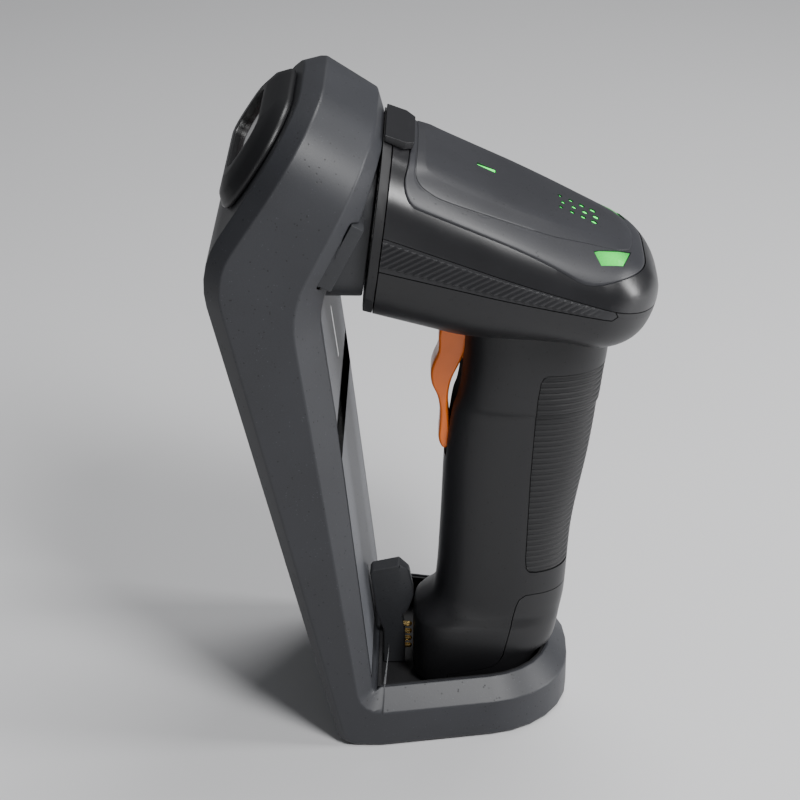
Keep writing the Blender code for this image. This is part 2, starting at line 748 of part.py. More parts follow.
def build_head(frames, finishes):
    head, head_rear, nose = frames
    far = 80.0 * MM

    cover = loft(
        "head_cover",
        [[(x, -rise * MM, z) for x, z in cover_outline(inset * MM)] for rise, inset in COVER_CROWN],
        finishes["dark"],
        head,
    )
    opening = face_prism("cover_opening_cutter", window_outline(GAP), -far, MM, None, head)
    boolean(cover, opening)
    depth = -COVER_RISE + WINDOW_DEPTH
    face_prism("head_window", window_outline(0.0), depth, depth + WINDOW_THICKNESS, finishes["window"], head)
    shell_window = face_prism("shell_window_cutter", window_outline(-2.0 * MM), -MM, 6.0 * MM, None, head)

    tunnel = face_prism("nose_tunnel", tunnel_outline(0.0), -far, NOSE_FACE[0] + 8.0 * MM, finishes["mid"])
    flange_top = SPINE_CHAMFER_TOP + FLANGE_PROUD
    flange_low = (-FLANGE_HALF_WIDTH, flange_top - FLANGE_DEPTH, FLANGE_LOW)
    flange_high = (FLANGE_HALF_WIDTH, flange_top, FLANGE_HIGH)
    flange = box("flange_shape", flange_low, flange_high, None, head_rear)
    notch = box(
        "flange_notch_cutter",
        (-FLANGE_HALF_WIDTH - GAP, flange_top - FLANGE_DEPTH - GAP, FLANGE_LOW - GAP),
        (FLANGE_HALF_WIDTH + GAP, flange_top + 10.0 * MM, FLANGE_HIGH + GAP),
        None,
        head_rear,
    )
    boolean(tunnel, flange, "UNION")
    boolean(tunnel, face_prism("tunnel_bore_cutter", tunnel_outline(-TUNNEL_WALL), -2 * far, far))
    spine = frame_empty("spine_face_frame", (0, *SPINE_FOOT), SPINE_FRONT_LEAN)
    clear = WALL + TUNNEL_FRONT_CLEARANCE
    boolean(tunnel, box("tunnel_front_cutter", (-far, -2 * far, -far), (far, clear, 2 * far), None, head))
    clear -= FRONT_CHAMFER_HEAD
    boolean(tunnel, box("tunnel_low_cutter", (-far, -far, far), (far, clear, 3 * far), None, spine))
    scanner_side = box("tunnel_rear_cutter", (-far, -DOCK_CLEARANCE, -far), (far, far, far), None, nose)
    boolean(tunnel, scanner_side)
    tunnel_hole = face_prism("tunnel_hole_cutter", tunnel_outline(GAP), -50.0 * MM, 0.0)
    return [shell_window, notch, tunnel_hole]


def build_base(shell, finishes):
    underside = BASE_UNDERSIDE
    plate_top = underside + PLATE_THICKNESS
    ballast_low = plate_top + GAP
    ballast_top = ballast_low + BALLAST_THICKNESS
    tray_low = ballast_top + GAP
    tray_floor = tray_low + TRAY_FLOOR
    rim = BASE_WALL_HEIGHT + BASE_CHAMFER

    opening = base_plan(PLATE_INSET, PLATE_FRONT)
    boolean(shell, plan_prism("plate_opening_cutter", opening, -MM, BASE_UNDERSIDE + WALL + 0.6 * MM))
    plate = plan_prism("base_plate", base_plan(PLATE_INSET + GAP, PLATE_FRONT + GAP), underside, plate_top, finishes["dark"])
    ballast = plan_prism(
        "ballast_plate", base_plan(BALLAST_INSET, PLATE_FRONT + 2 * MM), ballast_low, ballast_top, finishes["steel"]
    )

    tray_inset = BASE_CHAMFER + RIM_LAND
    boolean(shell, plan_prism("tray_opening_cutter", base_plan(tray_inset, TRAY_FRONT), 10.0 * MM, rim + 4.0 * MM))
    tray = plan_prism(
        "base_tray", base_plan(tray_inset + GAP, TRAY_FRONT + GAP), tray_low, rim - GAP, finishes["black"]
    )
    inside = base_plan(tray_inset + GAP + TRAY_WALL, TRAY_FRONT + GAP + TRAY_WALL)
    boolean(tray, plan_prism("tray_inside_cutter", inside, tray_floor, rim + MM))

    mat_top = underside + MAT_RECESS
    mat = plan_prism("base_mat", base_plan(MAT_INSET, MAT_FRONT), 0.0, mat_top - GAP, finishes["rubber"])
    recess = base_plan(MAT_INSET - GAP, MAT_FRONT - GAP)
    boolean(plate, plan_prism("mat_recess_cutter", recess, -MM, mat_top))

    head = GAP + SCREW_HEAD_HEIGHT
    tip = ballast_top - GAP - underside
    screw = ((GAP, SCREW_HEAD_RADIUS), (head, SCREW_HEAD_RADIUS), (head, SCREW_SHANK_RADIUS), (tip, SCREW_SHANK_RADIUS))
    hole = (
        (-2 * underside, SCREW_HEAD_RADIUS + GAP),
        (head + GAP, SCREW_HEAD_RADIUS + GAP),
        (head + GAP, SCREW_SHANK_RADIUS + GAP),
        (tip + MM, SCREW_SHANK_RADIUS + GAP),
    )
    holes = bmesh.new()
    for i, (x, y) in enumerate([(sx * x, y) for x, y in SCREW_PLACES for sx in (1, -1)]):
        turned(f"base_screw_{i + 1}", (x, y, underside), (0, 0, 1), screw, finishes["steel"])
        add_turned(holes, (x, y, underside), (0, 0, 1), hole)
    hole_cutter = make_object("screw_hole_cutter", holes)
    for piece in (mat, plate, ballast):
        boolean(piece, hole_cutter)
    return tray_floor


def toe_front_y():
    return GRIP_STATIONS[2][1] * MM


def pin_height(i):
    """Height of a contact pin; the lowest is the first."""
    return PIN_HEIGHT + (i - (PIN_COUNT - 1) / 2) * PIN_PITCH


def build_contact_block(tray_floor, finishes):
    low = tray_floor + GAP
    front = TRAY_FRONT + TRAY_WALL + 2 * GAP
    outline = [(front, low), (front, 20.6 * MM), *in_mm(BLOCK_OUTLINE), (BLOCK_REAR_Y, 20.0 * MM), (BLOCK_REAR_Y, low)]
    knee = BLOCK_OUTLINE[0][1] * MM
    narrow = [(min(y, BLOCK_SIDE_REAR * MM) if z > knee else y, z) for y, z in outline]
    edge = BLOCK_HALF_WIDTH - BLOCK_SIDE_CHAMFER
    rings = []
    for x, points in ((-BLOCK_HALF_WIDTH, narrow), (-edge, outline), (edge, outline), (BLOCK_HALF_WIDTH, narrow)):
        rings.append([(x, y, z) for y, z in points])
    block = loft("contact_block", rings, finishes["mid"])

    toe = toe_front_y()
    tip = toe - GAP - 0.1 * MM
    bores = bmesh.new()
    for i in range(PIN_COUNT):
        height = pin_height(i)
        profile = (
            (0, PIN_RADIUS * 0.45),
            (0.5 * MM, PIN_RADIUS * 0.9),
            (0.9 * MM, PIN_RADIUS),
            (PIN_LENGTH, PIN_RADIUS),
        )
        made = turned(f"contact_pin_{i + 1}", (0, 0, 0), (0, -1, 0), profile, finishes["gold"], sides=14)
        made.location = (0, tip, height)
        start = (0, BLOCK_REAR_Y + MM, height)
        end = (0, tip - PIN_LENGTH - PIN_BORE_SPARE, height)
        add_rod(bores, start, end, PIN_RADIUS + GAP, 14)
    boolean(block, make_object("pin_bore_cutter", bores))


def spine_front_inside(height):
    """y of the spine's front wall, on its inside, at a height."""
    face = point_at_height(SPINE_FOOT, -SPINE_FRONT_LEAN, height)
    return face.x - front_chamfer_at(height) + WALL


def build_electronics(shell, finishes):
    low, high = CHARGE_BOARD_LOW, CHARGE_BOARD_HIGH
    start, end = spine_front_inside(low) + 3.0 * MM, spine_front_inside(high) + 3.0 * MM
    outline = ((start, low), (start + BOARD_THICKNESS, low), (end + BOARD_THICKNESS, high), (end, high))
    side_prism("charge_board", outline, CHARGE_BOARD_HALF_WIDTH, finishes["board"])

    socket = box(
        "power_socket",
        (-SOCKET_HALF_WIDTH, SOCKET_FRONT, SOCKET_LOW),
        (SOCKET_HALF_WIDTH, SOCKET_REAR, SOCKET_HIGH),
        finishes["steel"],
        bevel=0.5 * MM,
    )
    mouth_low = (-SOCKET_HALF_WIDTH + SOCKET_WALL, SOCKET_FRONT - MM, SOCKET_LOW + SOCKET_WALL)
    mouth_high = (SOCKET_HALF_WIDTH - SOCKET_WALL, SOCKET_REAR - SOCKET_WALL, SOCKET_HIGH - SOCKET_WALL)
    boolean(socket, box("socket_mouth_cutter", mouth_low, mouth_high))
    port_low = (-SOCKET_HALF_WIDTH - GAP, SOCKET_FRONT - 6.0 * MM, SOCKET_LOW - GAP)
    port_high = (SOCKET_HALF_WIDTH + GAP, SOCKET_FRONT + 4.0 * MM, SOCKET_HIGH + GAP)
    boolean(shell, box("socket_port_cutter", port_low, port_high))


def build_inner_cover(shell, finishes):
    heights = inner_cover_heights()
    cover = rear_strip("cradle_inner_cover", heights, INNER_COVER_LIP + GAP, 0.0, INNER_COVER_THICKNESS, finishes["pale"])
    wide = inner_cover_heights(GAP)
    boolean(shell, rear_strip("inner_cover_cutter", wide, INNER_COVER_LIP, 2.0 * MM, WALL + MM))
    slot = [LIGHT_SLOT_LOW, (LIGHT_SLOT_LOW + LIGHT_SLOT_HIGH) / 2, LIGHT_SLOT_HIGH]
    for name, spare, outside, inside, finish in (
        ("dock_status_lens", 0.0, 0.0, INNER_COVER_THICKNESS, finishes["lens"]),
        ("light_slot_cutter", GAP, MM, INNER_COVER_THICKNESS + MM, None),
    ):
        bm = bmesh.new()
        rings = []
        for height in (slot[0] - spare, slot[1], slot[2] + spare):
            y, normal, _ = rear_face_at(height)
            outer = Vector((0, y, height)) + normal * outside
            inner = Vector((0, y, height)) - normal * inside
            x = LIGHT_SLOT_HALF_WIDTH + spare
            rings.append([(x, outer.y, outer.z), (-x, outer.y, outer.z), (-x, inner.y, inner.z), (x, inner.y, inner.z)])
        add_loft(bm, rings)
        made = make_object(name, bm, finish)
        if finish is None:
            boolean(cover, made)


def build_cradle(nose, finishes):
    shell = cradle_body("cradle_shell", 0.0, finishes["shell"])
    boolean(shell, cradle_body("cradle_cavity", WALL))
    head, head_rear = head_frame(), head_rear_frame()
    for cutter in build_head((head, head_rear, nose), finishes):
        boolean(shell, cutter)
    tray_floor = build_base(shell, finishes)
    build_contact_block(tray_floor, finishes)
    build_electronics(shell, finishes)
    build_inner_cover(shell, finishes)


# ---------------------------------------------------------------- scanner shapes

BARREL_SECTION = (
    (0.0, 1.0), (0.36, 0.985), (0.63, 0.90), (0.875, 0.60), (0.985, 0.20), (1.0, 0.0),
    (0.98, -0.34), (0.88, -0.64), (0.66, -0.87), (0.36, -0.98), (0.0, -1.0),
)


def barrel_size_at(s):
    """Half-width, roof and belly of the barrel before its tail is rounded."""
    late = max(s - BARREL_NARROWING_START, 0.0) / (BARREL_TAIL - BARREL_NARROWING_START)
    half_width = BARREL_HALF_WIDTH - BARREL_NARROWING * late ** 1.6
    roof = BARREL_ROOF_FRONT - BARREL_ROOF_SLOPE * (s - BARREL_FRONT)
    rise = min(max(s, BELLY_RISE_START), BELLY_RISE_END) - BELLY_RISE_START
    belly = BARREL_BELLY_FRONT + BARREL_BELLY_SLOPE * (s - BARREL_FRONT) + BELLY_RISE_SLOPE * rise
    return half_width, roof, belly


def barrel_ring(s, share, offset):
    """One cross-section of the barrel; share shrinks it towards the middle, as the tail does."""
    half_width, roof, belly = barrel_size_at(s)
    points = []
    for u, v in BARREL_SECTION:
        x = (half_width - offset) * share * u
        reach = (roof - offset - BARREL_MIDDLE) if v > 0 else (BARREL_MIDDLE - belly - offset)
        points.append((x, s, BARREL_MIDDLE + reach * share * v))
    return points + [(-x, y, z) for x, y, z in reversed(points[1:-1])]


def barrel_shape(name, offset, parent, finish=None, front=BARREL_FRONT - 16.0 * MM):
    """The barrel's closed outer form, moved inwards by an offset, running on past its front face."""
    centre = BARREL_TAIL - BARREL_TAIL_ROUND
    radius = BARREL_TAIL_ROUND - offset
    rings = [barrel_ring(s, 1.0, offset) for s in (front, -20.0 * MM, 0.0, BELLY_RISE_START, 20.0 * MM, 30.0 * MM, 39.0 * MM)]
    for degrees in (0, 16, 32, 47, 61, 73, 83, 88):
        angle = math.radians(degrees)
        rings.append(barrel_ring(centre + radius * math.sin(angle), math.cos(angle) ** 0.8, offset))
    return loft(name, rings, finish, parent)


def grip_ring(station, offset):
    height, front, rear, half_width, squareness = station
    front, rear = front * MM + offset, rear * MM - offset
    middle, depth = (front + rear) / 2, (rear - front) / 2
    points = []
    for k in range(GRIP_SIDES):
        angle = 2 * math.pi * (k + 0.5) / GRIP_SIDES
        c, s = math.cos(angle), math.sin(angle)
        x = (half_width * MM - offset) * math.copysign(abs(c) ** (2 / squareness), c)
        y = middle + depth * math.copysign(abs(s) ** (2 / squareness), s)
        points.append((x, y, height * MM))
    return points


def grip_shape(name, offset, finish=None, top=0.0):
    """The grip's closed form, moved inwards by an offset; top raises its upper end."""
    rings = []
    for station in GRIP_STATIONS:
        height = station[0] * MM
        if offset > 0 and height < GRIP_STATIONS[0][0] * MM + offset + 0.4 * MM:
            continue
        rings.append(grip_ring(station, offset))
    if offset > 0:
        floor = GRIP_STATIONS[0][0] * MM + offset
        rings.insert(0, [(x, y, floor) for x, y, _ in grip_ring(GRIP_STATIONS[2], offset + 0.6 * MM)])
    if top:
        rings.append([(x, y, z + top) for x, y, z in rings[-1]])
    return loft(name, rings, finish)


def grown(outline, distance):
    """An anticlockwise or clockwise outline, each side moved outwards by a distance."""
    area = sum(a[0] * b[1] - b[0] * a[1] for a, b in zip(outline, outline[1:] + outline[:1]))
    sign = 1.0 if area > 0 else -1.0
    count = len(outline)
    points = []
    for i, here in enumerate(outline):
        before, after = Vector(outline[i - 1]), Vector(outline[(i + 1) % count])
        back, ahead = (Vector(here) - before).normalized(), (after - Vector(here)).normalized()
        normal_back = Vector((back.y, -back.x)) * sign
        normal_ahead = Vector((ahead.y, -ahead.x)) * sign
        middle = (normal_back + normal_ahead).normalized()
        points.append(tuple(Vector(here) + middle * (distance / max(middle.dot(normal_ahead), 0.3))))
    return points


def in_mm(outline):
    return [(a * MM, b * MM) for a, b in outline]


# ---------------------------------------------------------------- scanner pieces


def strip_outline():
    """Side view of the rubber strip, as (s, h) in the barrel's frame."""
    front = BARREL_FRONT
    return [
        (front, STRIP_LOW_FRONT),
        (STRIP_TAIL, STRIP_LOW_TAIL),
        (STRIP_TAIL + 1.2 * MM, BEZEL_LOW - 1.5 * MM),
        (STRIP_TAIL, BEZEL_LOW - GAP),
        (front, BEZEL_LOW - GAP),
    ]


def build_side_grips(housing, cutters, barrel, finishes):
    strip = strip_outline()
    inner = barrel_shape("strip_core_cutter", SKIN, barrel)
    pocket_core = barrel_shape("strip_pocket_core", SKIN + GAP, barrel)
    for side, name in ((1, "side_grip_left"), (-1, "side_grip_right")):
        grip = barrel_shape(name, 0.0, barrel, finishes["rubber"])
        region = side_region(f"{name}_region", strip, side, barrel)
        boolean(grip, region, "INTERSECT")
        boolean(grip, inner)
        boolean(grip, cutters["nose"])
        pocket = side_region(f"{name}_pocket_cutter", grown(strip, GAP), side, barrel)
        boolean(pocket, pocket_core)
        boolean(housing, pocket)


def side_region(name, outline, side, barrel):
    """A block on one side of the barrel, with the strip's outline in side view."""
    bm = bmesh.new()
    low, high = 20.0 * MM * side, 60.0 * MM * side
    add_loft(bm, [[(x, s, h) for s, h in outline] for x in (low, high)])
    return make_object(name, bm, None, barrel)


def build_shells(barrel, nose, finishes):
    far = 90.0 * MM
    core = barrel_shape("barrel_core_cutter", WALL, barrel)
    radii = [ROOF_FRONT_RADIUS] * 2 + [ROOF_TAIL_RADIUS] * 2
    roof_low, roof_high = (-ROOF_HALF_WIDTH, ROOF_FRONT), (ROOF_HALF_WIDTH, ROOF_TAIL)
    roof = plan_prism("roof_region", rounded_rectangle(roof_low, roof_high, radii, 6), ROOF_LOW, far, None, barrel)
    wide_low = (-ROOF_HALF_WIDTH - GAP, ROOF_FRONT - GAP)
    wide_high = (ROOF_HALF_WIDTH + GAP, ROOF_TAIL + GAP)
    wide = rounded_rectangle(wide_low, wide_high, [radius + GAP for radius in radii], 6)
    roof_cut = plan_prism("roof_cutter", wide, ROOF_LOW - GAP, far, None, barrel)
    nose_cut = box("nose_cutter", (-far, -far, -far), (far, NOSE_FRAME_DEPTH + GAP, far), None, nose)
    below = box("below_bezel_cutter", (-far, -far, -far), (far, far, BEZEL_LOW), None, barrel)
    above = box("above_belly_cutter", (-far, -far, BEZEL_LOW - GAP), (far, far, far), None, barrel)

    top_shell = barrel_shape("top_shell", 0.0, barrel, finishes["shell"])
    boolean(top_shell, roof, "INTERSECT")
    bezel = barrel_shape("bezel_frame", 0.0, barrel, finishes["smooth"])
    for cutter in (core, roof_cut, below, nose_cut):
        boolean(bezel, cutter)
    for cutter in (core, nose_cut):
        boolean(top_shell, cutter)

    housing = barrel_shape("handle_housing", 0.0, barrel, finishes["housing"])
    boolean(housing, above)
    boolean(housing, grip_shape("grip_outer", 0.0), "UNION")
    boolean(housing, core)
    grip_core = grip_shape("grip_core_cutter", WALL, top=8.0 * MM)
    boolean(housing, grip_core)
    boolean(housing, nose_cut)
    return top_shell, bezel, housing, {"core": core, "grip_core": grip_core, "nose": nose_cut}


def build_nose(barrel, nose, finishes):
    far = 90.0 * MM
    frame = barrel_shape("nose_frame", 0.0, barrel, finishes["black"])
    boolean(frame, box("nose_frame_region", (-far, 0, -far), (far, NOSE_FRAME_DEPTH, far), None, nose), "INTERSECT")
    boolean(frame, barrel_shape("nose_opening_cutter", NOSE_FRAME_RIM, barrel))

    window = barrel_shape("exit_window", NOSE_FRAME_RIM + GAP, barrel, finishes["window"])
    window_low, window_high = 0.8 * MM, 0.8 * MM + WINDOW_THICKNESS
    boolean(window, box("exit_window_region", (-far, window_low, -far), (far, window_high, far), None, nose), "INTERSECT")

    gasket = barrel_shape("window_gasket", WALL + GAP, barrel, finishes["rubber"])
    low = NOSE_FRAME_DEPTH + GAP
    boolean(gasket, box("gasket_region", (-far, low, -far), (far, low + 1.4 * MM, far), None, nose), "INTERSECT")
    boolean(gasket, barrel_shape("gasket_opening_cutter", NOSE_FRAME_RIM + 2.4 * MM, barrel))

    corner = 3.0 * MM
    near = [
        (TAB_HALF_WIDTH, TAB_FRONT),
        (TAB_HALF_WIDTH, TAB_TAIL - corner),
        (TAB_HALF_WIDTH - corner, TAB_TAIL),
    ]
    top = BARREL_ROOF_FRONT - BARREL_ROOF_SLOPE * (TAB_TAIL - BARREL_FRONT) + TAB_RISE
    tab = plan_prism("nose_tab", mirror_outline(near), BARREL_MIDDLE + 20.0 * MM, top + MM, finishes["smooth"], barrel)
    boolean(tab, barrel_shape("tab_underside_cutter", -GAP, barrel))
    boolean(tab, box("tab_front_cutter", (-far, -far, -far), (far, 0.4 * MM, far), None, nose))
    return tab


def build_lights(top_shell, bezel, cutters, barrel, finishes):
    roof_at = barrel_size_at(0.0)[1]
    bar_low, bar_high = (-0.8 * MM, -3.0 * MM, roof_at - 4.5 * MM), (0.8 * MM, 3.0 * MM, roof_at - 0.1 * MM)
    box("led_bar", bar_low, bar_high, finishes["green"], barrel)
    grow = Vector((GAP, GAP, GAP))
    boolean(top_shell, box("led_bar_cutter", Vector(bar_low) - grow, Vector(bar_high) + grow * 6, None, barrel))

    dots, holes = bmesh.new(), bmesh.new()
    s_low, s_high = 25.5 * MM, 40.5 * MM
    under = barrel_size_at(s_high)[1] - WALL - 0.8 * MM
    for column in range(4):
        radius = (0.55 + 0.13 * column) * MM
        for row in (-1, 0, 1):
            x = row * 4.6 * MM
            s = (27.0 + 3.9 * column) * MM - abs(row) * 0.9 * MM
            top = barrel_size_at(s)[1] - 0.25 * MM - abs(row) * 0.15 * MM
            add_rod(dots, (x, s, under - 0.8 * MM), (x, s, top), radius, 10)
            add_rod(holes, (x, s, top - 6.0 * MM), (x, s, top + 3.0 * MM), radius + GAP, 10)
    plate_low, plate_high = (-6.0 * MM, s_low, under - 1.6 * MM), (6.0 * MM, s_high, under)
    guide = box("gauge_lights", plate_low, plate_high, finishes["green"], barrel)
    boolean(guide, make_object("gauge_dot_shape", dots, None, barrel), "UNION")
    boolean(top_shell, make_object("gauge_hole_cutter", holes, None, barrel))

    lens_core = barrel_shape("lens_core_cutter", SKIN, barrel)
    pocket_core = barrel_shape("lens_pocket_core", SKIN + GAP, barrel)
    for side, name in ((1, "status_lens_left"), (-1, "status_lens_right")):
        outline = [(x * side, s) for x, s in in_mm(LENS_OUTLINE)]
        region = plan_prism(f"{name}_region", outline, ROOF_LOW, 2 * ROOF_LOW, None, barrel)
        lens = barrel_shape(name, 0.0, barrel, finishes["green"])
        boolean(lens, region, "INTERSECT")
        boolean(lens, lens_core)
        wide = grown(outline, GAP)
        pocket = plan_prism(f"{name}_pocket_cutter", wide, ROOF_LOW - GAP, 2 * ROOF_LOW + MM, None, barrel)
        boolean(pocket, pocket_core)
        boolean(top_shell, pocket)
        boolean(bezel, pocket)


def build_grip_covers(housing, cutters, finishes):
    across = 40.0 * MM
    door_outline, panel_outline = in_mm(DOOR_OUTLINE), in_mm(PANEL_OUTLINE)
    door = grip_shape("battery_door", 0.0, finishes["smooth"])
    boolean(door, side_prism("battery_door_region", door_outline, across), "INTERSECT")
    boolean(door, cutters["grip_core"])
    boolean(housing, side_prism("battery_door_cutter", grown(door_outline, GAP), across))

    panel = grip_shape("grip_rear_panel", 0.0, finishes["rubber"])
    boolean(panel, side_prism("rear_panel_region", panel_outline, across), "INTERSECT")
    boolean(panel, grip_shape("panel_core_cutter", SKIN))
    pocket = side_prism("rear_panel_pocket_cutter", grown(panel_outline, GAP), across)
    boolean(pocket, grip_shape("panel_pocket_core", SKIN + GAP))
    boolean(housing, pocket)


def build_trigger(housing, barrel, finishes):
    y, z = TRIGGER_PIVOT
    slot = side_prism("trigger_slot_cutter", in_mm(TRIGGER_SLOT), TRIGGER_HALF_WIDTH + TRIGGER_SIDE_CLEARANCE)
    boolean(housing, slot)

    pivot = frame_empty("trigger_pivot", (0, y, z))
    outline = [(a * MM - y, b * MM - z) for a, b in TRIGGER_OUTLINE]
    trigger = side_prism("trigger", outline, TRIGGER_HALF_WIDTH, finishes["orange"], pivot, bevel=0.9 * MM)
    half = TRIGGER_PIN_HALF_LENGTH
    bore = rod("trigger_bore_cutter", (-half, y, z), (half, y, z), TRIGGER_PIN_RADIUS + GAP)
    boolean(trigger, bore)
    rod("trigger_pin", (-half, y, z), (half, y, z), TRIGGER_PIN_RADIUS, finishes["steel"])

    bracket_outline = in_mm(BRACKET_OUTLINE)
    bracket = side_prism("trigger_bracket", bracket_outline, BRACKET_HALF_WIDTH, finishes["steel"])
    rear = max(point[0] for point in bracket_outline)
    inner = (-BRACKET_HALF_WIDTH + BRACKET_SHEET, 0.0, 100.0 * MM)
    outer = (BRACKET_HALF_WIDTH - BRACKET_SHEET, rear - BRACKET_SHEET, 160.0 * MM)
    boolean(bracket, box("bracket_inside_cutter", inner, outer))
    boolean(bracket, bore)

    body = box(
        "trigger_switch",
        (-SWITCH_HALF, SWITCH_FRONT, SWITCH_HEIGHT - SWITCH_HALF),
        (SWITCH_HALF, SWITCH_REAR, SWITCH_HEIGHT + SWITCH_HALF),
        finishes["black"],
        bevel=0.4 * MM,
    )
    hole = rod(
        "switch_bore_cutter",
        (0, SWITCH_FRONT - MM, SWITCH_HEIGHT),
        (0, PLUNGER_BORE_END, SWITCH_HEIGHT),
        PLUNGER_RADIUS + GAP,
    )
    boolean(body, hole)
    plunger = bmesh.new()
    length = PLUNGER_END - PLUNGER_TIP
    profile = ((0, PLUNGER_RADIUS * 0.5), (0.5 * MM, PLUNGER_RADIUS), (length, PLUNGER_RADIUS))
    add_turned(plunger, (0, 0, 0), (0, 1, 0), profile, 14)
    made = make_object("switch_plunger", plunger, finishes["orange"])
    made.location = (0, PLUNGER_TIP, SWITCH_HEIGHT)

    spring_from = BRACKET_HALF_WIDTH + GAP + SPRING_WIRE
    build_spring("trigger_spring", spring_from, (y, z), finishes["steel"])


def build_spring(name, start_x, centre, finish):
    """A torsion spring wound round the trigger pin."""
    steps, sides = 12, 6
    pitch = SPRING_WIRE * 2 + 0.12 * MM
    rings = []
    for step in range(SPRING_TURNS * steps + 1):
        angle = 2 * math.pi * step / steps
        middle = Vector((start_x + pitch * step / steps, centre[0], centre[1]))
        radial = Vector((0, math.cos(angle), math.sin(angle)))
        ring = []
        for k in range(sides):
            turn = 2 * math.pi * k / sides
            ring.append(
                middle
                + radial * (SPRING_RADIUS + SPRING_WIRE * math.cos(turn))
                + Vector((1, 0, 0)) * SPRING_WIRE * math.sin(turn)
            )
        rings.append(ring)
    return loft(name, rings, finish)


def build_inside(housing, barrel, finishes):
    floor = -1.5 * MM
    board_top = floor + BOARD_THICKNESS
    seat = board_top + GAP
    board = box("main_board", (-21 * MM, -9 * MM, floor), (21 * MM, 34 * MM, board_top), finishes["board"], barrel)
    box("engine_bracket", (-12 * MM, -8 * MM, seat), (12 * MM, 5 * MM, seat + 2 * MM), finishes["steel"], barrel, 0.4 * MM)
    engine_low = seat + 2 * MM + GAP
    engine = box(
        "scan_engine", (-11 * MM, -8 * MM, engine_low), (11 * MM, 5 * MM, engine_low + 15 * MM),
        finishes["black"], barrel, 0.8 * MM,
    )
    middle = engine_low + 7.5 * MM
    profile = ((0, 3.2 * MM), (1.2 * MM, 4.6 * MM), (7.0 * MM, 4.6 * MM), (7.0 * MM, 3.6 * MM), (12.0 * MM, 3.6 * MM))
    turned("engine_lens", (0, -18.0 * MM, middle), (0, 1, 0), profile, finishes["glass"], barrel, 20)
    start, end = (0, -12 * MM, middle), (0, -5.6 * MM, middle)
    boolean(engine, rod("lens_bore_cutter", start, end, 3.6 * MM + GAP, None, barrel))
    lamp_low, lamp_high = (-20 * MM, -14.6 * MM, 1.0 * MM), (20 * MM, -13.4 * MM, 25.0 * MM)
    lamps = box("illumination_board", lamp_low, lamp_high, finishes["board"], barrel)
    start, end = (0, -20 * MM, middle), (0, -10 * MM, middle)
    boolean(lamps, rod("lamp_bore_cutter", start, end, 4.6 * MM + GAP, None, barrel))

    profile = ((0, 6 * MM), (4.5 * MM, 6 * MM), (5.0 * MM, 5.5 * MM), (5.0 * MM, 1.2 * MM), (4.2 * MM, 0.8 * MM))
    turned("beeper", (-12 * MM, 18 * MM, seat), (0, 0, 1), profile, finishes["black"], barrel, 20)
    profile = ((0, 3.4 * MM), (9 * MM, 3.4 * MM), (9.6 * MM, 2.8 * MM), (9.6 * MM, 0.8 * MM), (11 * MM, 0.8 * MM))
    turned("vibration_motor", (1 * MM, 29 * MM, seat + 3.5 * MM), (1, 0, 0), profile, finishes["steel"], barrel)
    box("radio_antenna", (3 * MM, 12 * MM, seat), (15 * MM, 20 * MM, seat + 1.8 * MM), finishes["gold"], barrel, 0.3 * MM)

    bosses, holes = bmesh.new(), bmesh.new()
    head, tip = 1.6 * MM, 5.6 * MM
    profile = ((0, 2.3 * MM), (head, 2.3 * MM), (head, 1.1 * MM), (tip, 1.1 * MM))
    places = [(x, s) for x in (-17.5 * MM, 17.5 * MM) for s in (-5.5 * MM, 29.0 * MM)]
    for i, (x, s) in enumerate(places):
        belly = barrel_size_at(s)[2] + WALL + 0.9 * MM
        add_rod(bosses, (x, s, belly), (x, s, floor - GAP), 2.8 * MM, 14)
        turned(f"board_screw_{i + 1}", (x, s, seat + head), (0, 0, -1), profile, finishes["steel"], barrel, 14)
        add_rod(holes, (x, s, seat + MM), (x, s, seat + head - tip - MM), 1.1 * MM + GAP, 12)
    boolean(housing, make_object("boss_shape", bosses, None, barrel), "UNION")
    hole_cutter = make_object("screw_bore_cutter", holes, None, barrel)
    boolean(housing, hole_cutter)
    boolean(board, hole_cutter)

    foot = (0, *CELL_FOOT)
    head_end = (0, *CELL_HEAD)
    rod("battery_cell", foot, head_end, CELL_RADIUS, finishes["cell"], sides=28)
    top = CELL_HEAD[1] + 2.2 * MM
    box("battery_contacts", (-7 * MM, 17 * MM, top), (7 * MM, 33 * MM, top + 3.5 * MM), finishes["black"], None, 0.5 * MM)

    front = toe_front_y()
    half_x, half_z = CONTACT_PAD_HALF
    reach = half_x + CONTACT_MARGIN
    face, rear = front + 0.3 * MM, front + WALL + 0.6 * MM
    middle_y = face + CONTACT_PAD_THICKNESS
    low = pin_height(0) - half_z - CONTACT_MARGIN
    high = pin_height(PIN_COUNT - 1) + half_z + CONTACT_MARGIN
    contacts = box("charge_contacts", (-reach, middle_y, low), (reach, rear, high), finishes["gold"])
    pads = bmesh.new()
    for i in range(PIN_COUNT):
        height = pin_height(i)
        add_box(pads, (-half_x, face, height - half_z), (half_x, middle_y + MM / 2, height + half_z))
    boolean(contacts, make_object("contact_pad_shape", pads), "UNION")
    pocket_low, pocket_high = (-reach - GAP, front - MM, low - GAP), (reach + GAP, rear + MM, high + GAP)
    boolean(housing, box("contact_pocket_cutter", pocket_low, pocket_high))


def build_scanner(nose, finishes):
    barrel = barrel_frame_empty()
    top_shell, bezel, housing, cutters = build_shells(barrel, nose, finishes)
    build_nose(barrel, nose, finishes)
    build_lights(top_shell, bezel, cutters, barrel, finishes)
    build_side_grips(housing, cutters, barrel, finishes)
    build_grip_covers(housing, cutters, finishes)
    build_trigger(housing, barrel, finishes)
    build_inside(housing, barrel, finishes)


